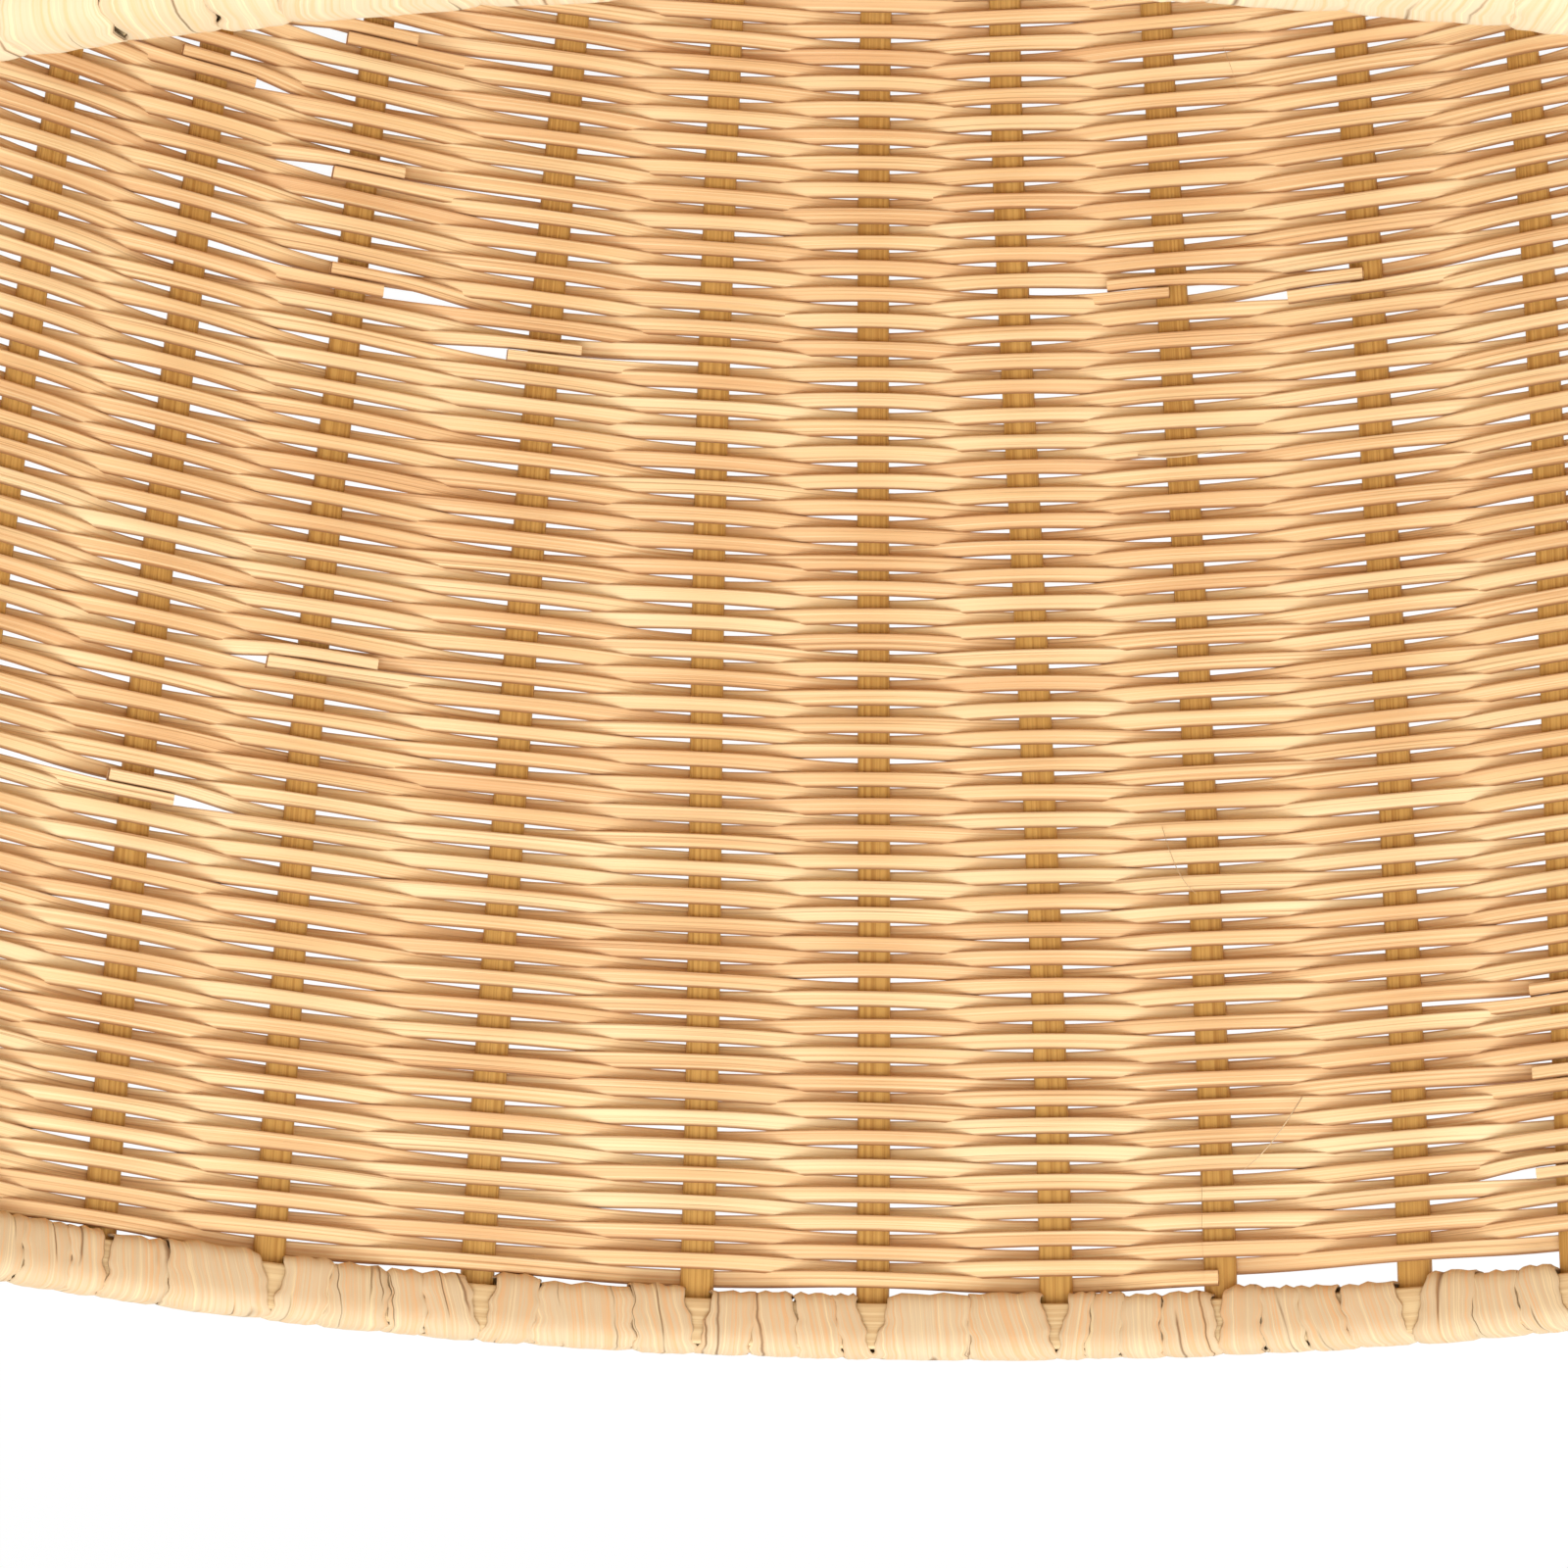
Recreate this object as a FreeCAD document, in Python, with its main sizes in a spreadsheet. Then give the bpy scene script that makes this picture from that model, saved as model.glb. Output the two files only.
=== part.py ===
import FreeCAD, Part
import math
import os
import Sketcher

# Woven wicker basket, upright on its foot hoop. +Z is up and the origin is on the table, at
# the centre of the foot. Six base sticks cross at the centre, three through slits in the other
# three, and turn up to become twelve wall stakes. Thirty-six side stakes are laid in between
# them. Cane is woven round the stakes from the cross to the rim, in front of one stake and
# behind the next. Here each weave node is one band of about eight rows, because neighbouring
# rows of a band cannot come apart. Two hoops clamp the stake ends and a binding closes them.

Vector = FreeCAD.Vector
Placement = FreeCAD.Placement
Rotation = FreeCAD.Rotation

# alias, value in millimetres or degrees, meaning
SIZES = (
    ("base_level", 10.6, "height of the middle of the stakes in the flat base"),
    ("flat_radius", 123.0, "radius of the flat base, where the heel starts"),
    ("heel_radius", 60.0, "bend of the heel, at the middle of the stakes"),
    ("wall_radius", 1320.0, "bulge of the wall, at the middle of the stakes"),
    ("heel_lean", 10.2, "lean of the wall from upright, just above the heel"),
    ("lip_lean", 2.0, "lean of the wall from upright, at the lip"),
    ("stake_width", 5.0, "width of a stake or base stick"),
    ("stake_thickness", 2.0, "thickness of a stake or base stick"),
    ("stake_recess", 1.5, "stake ends below the lip"),
    ("gap_1", 7.2, "first of the eight angles from stake to stake in a sixth of the basket"),
    ("gap_2", 8.8, "second"),
    ("gap_3", 8.0, "third"),
    ("gap_4", 7.0, "fourth"),
    ("gap_5", 6.7, "fifth"),
    ("gap_6", 6.8, "sixth"),
    ("gap_7", 8.3, "seventh"),
    ("gap_8", 7.2, "eighth"),
    ("stick_spacing", 5.3, "middle to middle of the base sticks where they cross"),
    ("cross_reach", 9.0, "length of the straight part of a middle stick, each side"),
    ("slit_reach", 8.2, "half the length of the slit in a slit stick"),
    ("slit_height", 2.2, "opening of the slit"),
    ("leaf_thickness", 0.8, "each half of a slit stick, above and below the slit"),
    ("leaf_taper", 1.4, "length over which the slit stick swells"),
    ("cross_edge", 19.0, "radius where the weave starts"),
    ("first_start", 40.0, "radius where the first side stakes start"),
    ("second_start", 76.0, "radius where the second side stakes start"),
    ("weaver_thickness", 1.1, "thickness of the cane that is woven"),
    ("weave_clearance", 0.3, "play between the cane and a stake"),
    ("band_gap", 0.3, "play between two bands of weave"),
    ("rim_gap", 9.05, "lip to the top edge of the weave"),
    ("hoop_height", 6.4, "height of the rim hoops"),
    ("hoop_thickness", 1.3, "thickness of the rim hoops"),
    ("hoop_clearance", 0.1, "play between a hoop and the stakes, and the binding and a hoop"),
    ("binding_thickness", 0.5, "thickness of the rim binding"),
    ("foot_radius", 112.0, "middle radius of the foot hoop"),
    ("foot_thickness", 4.0, "thickness of the foot hoop"),
    ("foot_height", 8.0, "height of the foot hoop"),
    ("lashing_width", 3.0, "width of a lashing"),
    ("lashing_thickness", 0.8, "thickness of a lashing"),
    ("lashing_clearance", 0.3, "play round a lashing"),
    ("lashing_headroom", 2.6, "middle of the stakes to the underside of a lashing"),
)

SECTORS = 6
HEEL_BANDS = 8
WALL_BANDS = 9
STEPS_PER_BAY = 4
WAVE_SQUARENESS = 0.25
SKETCH_POINT = {"start": 1, "end": 2, "centre": 3}

doc = FreeCAD.newDocument("wicker_basket")
sheet = doc.addObject("Spreadsheet::Sheet", "Sizes")
for line, (alias, value, meaning) in enumerate(SIZES, start=1):
    sheet.set(f"A{line}", alias)
    sheet.set(f"B{line}", str(value))
    sheet.set(f"C{line}", meaning)
    sheet.setAlias(f"B{line}", alias)
doc.recompute()

# Expressions that several pieces share.
HALF_STAKE = "Sizes.stake_thickness / 2"
HEEL_LEAN = "Sizes.heel_lean * 1 deg"
LIP_LEAN = "Sizes.lip_lean * 1 deg"
HEEL_CENTRE_Z = "(Sizes.base_level + Sizes.heel_radius)"
HEEL_TOP_Z = f"({HEEL_CENTRE_Z} - Sizes.heel_radius * sin({HEEL_LEAN}))"
HEEL_TOP_R = f"(Sizes.flat_radius + Sizes.heel_radius * cos({HEEL_LEAN}))"
WALL_CENTRE_Z = f"({HEEL_TOP_Z} + Sizes.wall_radius * sin({HEEL_LEAN}))"
WALL_CENTRE_R = f"({HEEL_TOP_R} - Sizes.wall_radius * cos({HEEL_LEAN}))"
LIP_Z = f"({WALL_CENTRE_Z} - Sizes.wall_radius * sin({LIP_LEAN}))"
LIP_R = f"({WALL_CENTRE_R} + Sizes.wall_radius * cos({LIP_LEAN}))"
HOOP_TOP = f"({LIP_Z} - Sizes.binding_thickness - Sizes.hoop_clearance)"
HOOP_BOTTOM = f"({HOOP_TOP} - Sizes.hoop_height)"
INNER_HOOP_OUTSIDE = (f"({LIP_R} - Sizes.rim_gap * tan({LIP_LEAN} * 1.5)"
                      f" - {HALF_STAKE} - Sizes.hoop_clearance)")
OUTER_HOOP_INSIDE = f"({LIP_R} + {HALF_STAKE} + Sizes.hoop_clearance)"


def size(expression):
    """Value of an expression of the sheet, in millimetres or plain."""
    result = sheet.evalExpression(expression)
    return float(getattr(result, "Value", result))


# ---------------------------------------------------------------- bodies and sketches

def new_body(label):
    body = doc.addObject("PartDesign::Body", label)
    body.Label = label
    body.AllowCompound = True
    return body


def new_sketch(body, name, role, turn=0.0):
    """Sketch on an origin plane of the body, turned about Z by an angle in degrees."""
    plane = next(item for item in body.Origin.OriginFeatures if item.Role == role)
    sketch = body.newObject("Sketcher::SketchObject", name)
    sketch.AttachmentSupport = (plane, [""])
    sketch.MapMode = "FlatFace"
    upright = Vector(0, 0, 1) if role == "XY_Plane" else Vector(0, 1, 0)
    sketch.AttachmentOffset = Placement(Vector(), Rotation(upright, turn))
    return sketch


def line(sketch, start, end):
    return sketch.addGeometry(Part.LineSegment(Vector(*start), Vector(*end)))


def arc(sketch, centre, radius, first, last):
    circle = Part.Circle(Vector(*centre), Vector(0, 0, 1), radius)
    return sketch.addGeometry(Part.ArcOfCircle(circle, first, last))


def join(sketch, kind, first, first_point, second, second_point):
    points = SKETCH_POINT[first_point], SKETCH_POINT[second_point]
    sketch.addConstraint(Sketcher.Constraint(kind, first, points[0], second, points[1]))


def bind(sketch, kind, expression, geometry, point=None):
    """Ties a radius, or a point's distance from the origin along an axis, to the sheet."""
    value = size(expression)
    if point is None:
        constraint = Sketcher.Constraint(kind, geometry, value)
    else:
        constraint = Sketcher.Constraint(kind, -1, 1, geometry, SKETCH_POINT[point], value)
    index = sketch.addConstraint(constraint)
    sketch.setExpression(f"Constraints[{index}]", expression)


def polygon(sketch, corners):
    """Closed outline; each corner is a pair of expressions, across and up."""
    places = [(size(across), size(up), 0) for across, up in corners]
    sides = [line(sketch, place, places[(i + 1) % len(places)]) for i, place in enumerate(places)]
    for i, side in enumerate(sides):
        join(sketch, "Coincident", side, "end", sides[(i + 1) % len(sides)], "start")
        bind(sketch, "DistanceX", corners[i][0], side, "start")
        bind(sketch, "DistanceY", corners[i][1], side, "start")


def rectangle(sketch, left, bottom, right, top):
    polygon(sketch, ((left, bottom), (right, bottom), (right, top), (left, top)))


def pad_across(body, sketch, length):
    """Pad to both sides of the sketch."""
    pad = body.newObject("PartDesign::Pad", "Pad")
    pad.Profile = sketch
    pad.SideType = "Symmetric"
    pad.setExpression("Length", length)
    return pad


def revolve(body, sketch, angle="360"):
    """Turn the sketch about Z, to both sides of where it lies."""
    turned = body.newObject("PartDesign::Revolution", "Revolution")
    turned.Profile = sketch
    turned.ReferenceAxis = (sketch, ["V_Axis"])
    turned.Midplane = True
    turned.setExpression("Angle", angle)
    return turned


def repeat_round(body, features):
    """The same features in each sixth of the basket."""
    axis = next(item for item in body.Origin.OriginFeatures if item.Role == "Z_Axis")
    pattern = body.newObject("PartDesign::PolarPattern", "PolarPattern")
    pattern.Originals = features
    pattern.Axis = (axis, [""])
    pattern.Angle = 360
    pattern.Occurrences = SECTORS
    body.Tip = pattern
    return pattern


# ---------------------------------------------------------------- stakes

def stake_profile(body, name, start, turn):
    """Side view of a stake: flat in the base, round the heel and up the wall to the rim."""
    sketch = new_sketch(body, name, "XZ_Plane", turn)
    floor, flat, heel, wall = (size(f"Sizes.{alias}") for alias in
                               ("base_level", "flat_radius", "heel_radius", "wall_radius"))
    half = size(HALF_STAKE)
    lean = math.radians(size("Sizes.heel_lean"))
    heel_centre = (flat, floor + heel, 0)
    wall_centre = (size(WALL_CENTRE_R), size(WALL_CENTRE_Z), 0)
    top_z = size(f"{LIP_Z} - Sizes.stake_recess")
    tips = []
    for radius in (wall + half, wall - half):
        rise = math.asin((top_z - wall_centre[1]) / radius)
        tips.append((rise, (wall_centre[0] + radius * math.cos(rise), top_z, 0)))
    first = size(start)

    under = line(sketch, (first, floor - half, 0), (flat, floor - half, 0))
    heel_out = arc(sketch, heel_centre, heel + half, -math.pi / 2, -lean)
    wall_out = arc(sketch, wall_centre, wall + half, -lean, tips[0][0])
    tip = line(sketch, tips[0][1], tips[1][1])
    wall_in = arc(sketch, wall_centre, wall - half, -lean, tips[1][0])
    heel_in = arc(sketch, heel_centre, heel - half, -math.pi / 2, -lean)
    over = line(sketch, (flat, floor + half, 0), (first, floor + half, 0))
    butt = line(sketch, (first, floor + half, 0), (first, floor - half, 0))

    join(sketch, "Tangent", under, "end", heel_out, "start")
    join(sketch, "Tangent", heel_out, "end", wall_out, "start")
    join(sketch, "Coincident", wall_out, "end", tip, "start")
    join(sketch, "Coincident", tip, "end", wall_in, "end")
    join(sketch, "Tangent", wall_in, "start", heel_in, "end")
    join(sketch, "Tangent", heel_in, "start", over, "start")
    join(sketch, "Coincident", over, "end", butt, "start")
    join(sketch, "Coincident", butt, "end", under, "start")
    join(sketch, "Coincident", heel_out, "centre", heel_in, "centre")
    join(sketch, "Coincident", wall_out, "centre", wall_in, "centre")
    for level in (under, tip, over):
        sketch.addConstraint(Sketcher.Constraint("Horizontal", level))
    sketch.addConstraint(Sketcher.Constraint("Vertical", butt))
    bind(sketch, "DistanceX", start, under, "start")
    bind(sketch, "DistanceY", f"Sizes.base_level - {HALF_STAKE}", under, "start")
    bind(sketch, "DistanceX", "Sizes.flat_radius", heel_out, "centre")
    bind(sketch, "DistanceY", f"{LIP_Z} - Sizes.stake_recess", tip, "start")
    bind(sketch, "DistanceY", f"{HEEL_TOP_Z} - {HALF_STAKE} * sin({HEEL_LEAN})", heel_out, "end")
    bind(sketch, "Radius", f"Sizes.heel_radius + {HALF_STAKE}", heel_out)
    bind(sketch, "Radius", f"Sizes.heel_radius - {HALF_STAKE}", heel_in)
    bind(sketch, "Radius", f"Sizes.wall_radius + {HALF_STAKE}", wall_out)
    return sketch


def stick_bar(body, offset, left, right, direction):
    """Middle of a base stick: straight, with a round elbow at each end."""
    sketch = new_sketch(body, "Bar", "XY_Plane", direction)
    sketch.setExpression("AttachmentOffset.Base.z", "Sizes.base_level")
    across, low, high = size(offset), size(left), size(right)
    half = size("Sizes.stake_width") / 2
    under = line(sketch, (low, across - half, 0), (high, across - half, 0))
    elbow = arc(sketch, (high, across, 0), half, -math.pi / 2, math.pi / 2)
    over = line(sketch, (high, across + half, 0), (low, across + half, 0))
    other = arc(sketch, (low, across, 0), half, math.pi / 2, 3 * math.pi / 2)
    join(sketch, "Tangent", under, "end", elbow, "start")
    join(sketch, "Tangent", elbow, "end", over, "start")
    join(sketch, "Tangent", over, "end", other, "start")
    join(sketch, "Tangent", other, "end", under, "start")
    sketch.addConstraint(Sketcher.Constraint("Horizontal", under))
    bind(sketch, "Radius", "Sizes.stake_width / 2", elbow)
    bind(sketch, "DistanceX", right, elbow, "centre")
    bind(sketch, "DistanceX", left, other, "centre")
    bind(sketch, "DistanceY", offset, elbow, "centre")
    return pad_across(body, sketch, "Sizes.stake_thickness")


def open_slit(body, offset):
    """The stick swells and splits into two leaves, and the other three sticks pass between."""
    middle = "Sizes.base_level"
    swell = "(Sizes.slit_height / 2 + Sizes.leaf_thickness)"
    inner = "(Sizes.slit_reach + Sizes.leaf_thickness)"
    outer = f"({inner} + Sizes.leaf_taper)"
    leaves = new_sketch(body, "Leaves", "XZ_Plane")
    leaves.setExpression("AttachmentOffset.Base.z", f"-({offset})")
    polygon(leaves, (
        (f"-{outer}", middle), (f"-{inner}", f"{middle} - {swell}"),
        (inner, f"{middle} - {swell}"), (outer, middle),
        (inner, f"{middle} + {swell}"), (f"-{inner}", f"{middle} + {swell}"),
    ))
    pad_across(body, leaves, "Sizes.stake_width")
    slit = new_sketch(body, "Slit", "XZ_Plane")
    slit.setExpression("AttachmentOffset.Base.z", f"-({offset})")
    rectangle(slit, "-Sizes.slit_reach", f"{middle} - Sizes.slit_height / 2",
              "Sizes.slit_reach", f"{middle} + Sizes.slit_height / 2")
    pocket = body.newObject("PartDesign::Pocket", "Pocket")
    pocket.Profile = slit
    pocket.SideType = "Symmetric"
    pocket.setExpression("Length", "Sizes.stake_width + 1")


def base_stick(label, direction, place, right_angle, left_angle, slit):
    """One of three parallel sticks; place is -1, 0 or 1, and the angles are its two ends'."""
    body = new_body(label)
    offset = f"Sizes.stick_spacing * {place}"
    if place:
        right = f"{offset} / tan({right_angle} * 1 deg)"
        left = f"{offset} / tan({left_angle} * 1 deg)"
        start = (f"{offset} / sin({right_angle} * 1 deg)", f"{offset} / sin({left_angle} * 1 deg)")
    else:
        right = "Sizes.cross_reach"
        left = "-Sizes.cross_reach"
        start = (right, right)
    stick_bar(body, offset, left, right, direction)
    for name, begin, angle in (("RightArm", start[0], right_angle), ("LeftArm", start[1], left_angle)):
        arm = stake_profile(body, name, begin, direction + angle)
        pad_across(body, arm, "Sizes.stake_width")
    if slit:
        open_slit(body, offset)
    return body


def side_stakes(label, start, angle):
    """One side stake in each sixth of the basket."""
    body = new_body(label)
    sketch = stake_profile(body, "Profile", start, angle)
    repeat_round(body, [pad_across(body, sketch, "Sizes.stake_width")])
    return body


# ---------------------------------------------------------------- weave

class Middle:
    """Middle surface of the stakes, as distance along it from the centre of the base."""

    def __init__(self):
        self.floor = size("Sizes.base_level")
        self.flat = size("Sizes.flat_radius")
        self.heel = size("Sizes.heel_radius")
        self.wall = size("Sizes.wall_radius")
        self.lean = math.radians(size("Sizes.heel_lean"))
        self.heel_end = self.flat + self.heel * (math.pi / 2 - self.lean)
        lip = math.radians(size("Sizes.lip_lean"))
        self.lip_end = self.heel_end + self.wall * (self.lean - lip)
        self.wall_centre = (size(WALL_CENTRE_R), size(WALL_CENTRE_Z))

    def point(self, along, out):
        """Radius and height of a point that stands out from the middle surface."""
        if along <= self.flat:
            return along, self.floor - out
        if along <= self.heel_end:
            tilt = (along - self.flat) / self.heel - math.pi / 2
            reach = self.heel + out
            return self.flat + reach * math.cos(tilt), self.floor + self.heel + reach * math.sin(tilt)
        tilt = (along - self.heel_end) / self.wall - self.lean
        reach = self.wall + out
        return (self.wall_centre[0] + reach * math.cos(tilt),
                self.wall_centre[1] + reach * math.sin(tilt))


def wave(turns):
    """In front of a stake at 0 and behind the next at 1, a little squarer than a cosine."""
    level = math.cos(math.pi * turns)
    return level / math.sqrt(level ** 2 + WAVE_SQUARENESS * (1 - level ** 2))


def woven_loop(middle, along, face, angles, side):
    """Closed edge of a band, in and out of the stakes at the given angles."""
    swing = size(f"{HALF_STAKE} + Sizes.weave_clearance + Sizes.weaver_thickness / 2")
    points = []
    for stake, angle in enumerate(angles):
        following = angles[stake + 1] if stake + 1 < len(angles) else angles[0] + 360
        for step in range(STEPS_PER_BAY):
            part = step / STEPS_PER_BAY
            turn = math.radians(angle + part * (following - angle))
            radius, height = middle.point(along, face - side * swing * wave(stake + part))
            points.append(Vector(radius * math.cos(turn), radius * math.sin(turn), height))
    curve = Part.BSplineCurve()
    curve.interpolate(Points=points, PeriodicFlag=True, Parameters=list(range(len(points) + 1)))
    return curve.toShape()


def weave_band(label, middle, begin, end, angles, side):
    """Closed band of cane; side is 1 where it passes inside the first stake, or -1."""
    half = size("Sizes.weaver_thickness / 2")
    play = size("Sizes.band_gap / 2")
    corners = ((begin + play, -half), (begin + play, half), (end - play, half), (end - play, -half))
    loops = [woven_loop(middle, along, face, angles, side) for along, face in corners]
    faces = [Part.makeRuledSurface(loop, loops[(i + 1) % 4]) for i, loop in enumerate(loops)]
    band = Part.Solid(Part.makeShell(faces))
    if band.Volume < 0:
        band.reverse()
    feature = doc.addObject("Part::Feature", label)
    feature.Label = label
    feature.Shape = band
    return feature


def weave_bands(name, middle, edges, angles, side):
    """Bands between neighbouring edges, each on the other side of the stakes."""
    bands = []
    for number, (begin, end) in enumerate(zip(edges, edges[1:]), start=1):
        bands.append(weave_band(f"{name}_{number}", middle, begin, end, angles, side))
        side = -side
    return bands


def spread(begin, end, count):
    return [begin + (end - begin) * i / count for i in range(count + 1)]


# ---------------------------------------------------------------- rim and foot

def hoop(label, inside, outside, bottom, top):
    body = new_body(label)
    sketch = new_sketch(body, "Section", "XZ_Plane")
    rectangle(sketch, inside, bottom, outside, top)
    revolve(body, sketch)
    return body


def rim_binding(label, middle_angle, gap):
    """Sleeve round both hoops between two stakes, in each sixth of the basket."""
    body = new_body(label)
    sketch = new_sketch(body, "Sleeve", "XZ_Plane", middle_angle)
    play = "Sizes.hoop_clearance"
    inside = f"{INNER_HOOP_OUTSIDE} - Sizes.hoop_thickness - {play}"
    outside = f"{OUTER_HOOP_INSIDE} + Sizes.hoop_thickness + {play}"
    skin = "Sizes.binding_thickness"
    rectangle(sketch, f"{inside} - {skin}", f"{HOOP_BOTTOM} - {play} - {skin}",
              f"{outside} + {skin}", LIP_Z)
    rectangle(sketch, inside, f"{HOOP_BOTTOM} - {play}", outside, f"{HOOP_TOP} + {play}")
    stake_share = f"(Sizes.stake_width + 2 * Sizes.band_gap) / {LIP_R} * 180 / pi"
    repeat_round(body, [revolve(body, sketch, f"Sizes.gap_{gap} - {stake_share}")])
    return body


def foot_hoop(lashing_angles):
    """Flat hoop under the base, notched underneath where the lashings pass."""
    half = "Sizes.foot_thickness / 2"
    body = hoop("foot_hoop", f"Sizes.foot_radius - {half}", f"Sizes.foot_radius + {half}",
                "0", "Sizes.foot_height")
    notch_depth = "Sizes.lashing_thickness + 2 * Sizes.lashing_clearance"
    notch_half = "(Sizes.lashing_width / 2 + Sizes.lashing_clearance)"
    notches = []
    for angle in lashing_angles:
        sketch = new_sketch(body, "Notch", "XY_Plane", angle)
        rectangle(sketch, "Sizes.foot_radius - Sizes.foot_thickness", f"-{notch_half}",
                  "Sizes.foot_radius + Sizes.foot_thickness", notch_half)
        pocket = body.newObject("PartDesign::Pocket", "Pocket")
        pocket.Profile = sketch
        pocket.Reversed = True
        pocket.setExpression("Length", notch_depth)
        notches.append(pocket)
    repeat_round(body, notches)
    return body


def foot_lashings(lashing_angles):
    """Loops of cane that tie the foot hoop up to the base, through the weave."""
    body = new_body("foot_lashings")
    play, cane = "Sizes.lashing_clearance", "Sizes.lashing_thickness"
    reach = f"(Sizes.foot_thickness / 2 + {play})"
    top = "(Sizes.base_level + Sizes.lashing_headroom)"
    loops = []
    for angle in lashing_angles:
        sketch = new_sketch(body, "Loop", "XZ_Plane", angle)
        rectangle(sketch, f"Sizes.foot_radius - {reach} - {cane}", play,
                  f"Sizes.foot_radius + {reach} + {cane}", f"{top} + {cane}")
        rectangle(sketch, f"Sizes.foot_radius - {reach}", f"{play} + {cane}",
                  f"Sizes.foot_radius + {reach}", top)
        loops.append(pad_across(body, sketch, "Sizes.lashing_width"))
    repeat_round(body, loops)
    return body


# ---------------------------------------------------------------- the basket

def make_base_sticks(turns):
    """Three slit sticks lie along X and three plain ones go through them along Y."""
    sixth = 360 / SECTORS
    sticks = []
    lying = ((-1, turns[4] - sixth, 180 + turns[4]), (0, 0, 180), (1, turns[4], 180 + turns[4] - sixth))
    for number, (place, right, left) in enumerate(lying, start=1):
        sticks.append(base_stick(f"base_stick_{number}", 0, place, right, left, True))
    over = turns[4] + sixth - 90
    through = ((-1, sixth - 90, 300 - 90), (0, over, 180 + over), (1, 2 * sixth - 90, 240 - 90))
    for number, (place, right, left) in enumerate(through, start=4):
        sticks.append(base_stick(f"base_stick_{number}", 90, place, right, left, False))
    return sticks


def make_weave(turns):
    """Base, heel and wall, with more stakes taken in as the base widens."""
    middle = Middle()
    stakes = [turn + sector * 360 / SECTORS for sector in range(SECTORS) for turn in turns]
    cross, first, second = (size(f"Sizes.{alias}") for alias in ("cross_edge", "first_start", "second_start"))
    foot = size("Sizes.foot_radius")
    leg = size("Sizes.foot_thickness / 2 + Sizes.lashing_clearance")
    passage = size("Sizes.lashing_thickness + Sizes.lashing_clearance")
    inner_edge = foot - leg - passage
    outer_edge = foot + leg + passage
    bands = weave_bands("base_weave_centre", middle, spread(cross, first, 2), stakes[::4], 1)
    bands += weave_bands("base_weave_middle", middle, spread(first, second, 2), stakes[::2], 1)
    bands += weave_bands("base_weave_outer", middle, spread(second, inner_edge, 2), stakes, 1)
    bands += weave_bands("base_weave_foot", middle, (foot - leg, foot + leg), stakes, 1)
    bands += weave_bands("base_weave_edge", middle, (outer_edge, middle.flat), stakes, -1)
    bands += weave_bands("heel_weave", middle, spread(middle.flat, middle.heel_end, HEEL_BANDS), stakes, 1)
    wall_top = middle.lip_end - size("Sizes.rim_gap")
    bands += weave_bands("wall_weave", middle, spread(middle.heel_end, wall_top, WALL_BANDS), stakes, 1)
    return bands


def make_rim(turns):
    thickness = "Sizes.hoop_thickness"
    pieces = [
        hoop("rim_inner_hoop", f"{INNER_HOOP_OUTSIDE} - {thickness}", INNER_HOOP_OUTSIDE,
             HOOP_BOTTOM, HOOP_TOP),
        hoop("rim_outer_hoop", OUTER_HOOP_INSIDE, f"{OUTER_HOOP_INSIDE} + {thickness}",
             HOOP_BOTTOM, HOOP_TOP),
    ]
    ends = turns[1:] + [360 / SECTORS]
    for number, (begin, end) in enumerate(zip(turns, ends), start=1):
        pieces.append(rim_binding(f"rim_binding_{number}", (begin + end) / 2, number))
    return pieces


def main():
    gaps = [size(f"Sizes.gap_{number}") for number in range(1, 9)]
    turns = [sum(gaps[:number]) for number in range(8)]
    lashing_angles = [turns[2] + gaps[2] / 2, turns[6] + gaps[6] / 2]
    pieces = make_base_sticks(turns)
    for number, place in enumerate((2, 6), start=1):
        pieces.append(side_stakes(f"first_side_stakes_{number}", "Sizes.first_start", turns[place]))
    for number, place in enumerate((1, 3, 5, 7), start=1):
        pieces.append(side_stakes(f"second_side_stakes_{number}", "Sizes.second_start", turns[place]))
    pieces += make_weave(turns)
    pieces += make_rim(turns)
    pieces += [foot_hoop(lashing_angles), foot_lashings(lashing_angles)]
    doc.recompute()

    for item in doc.Objects:
        if {"Invalid", "Error"} & set(item.State):
            raise RuntimeError(f"{item.Label} failed: {item.State}")
    for piece in pieces:
        if piece.Shape.isNull() or not piece.Shape.isValid() or piece.Shape.Volume <= 0:
            raise RuntimeError(f"{piece.Label} has no valid solid")
    os.makedirs("parts", exist_ok=True)
    for piece in pieces:
        piece.Shape.exportStep(f"parts/{piece.Label}.step")
        print(piece.Label, len(piece.Shape.Solids), round(piece.Shape.Volume, 1))


main()
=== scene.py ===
import functools
import math

import bmesh
import bpy
import numpy as np
from bpy.props import FloatProperty, FloatVectorProperty, PointerProperty
from bpy.types import Operator, Panel, PropertyGroup
from mathutils import Matrix, Vector


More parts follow.
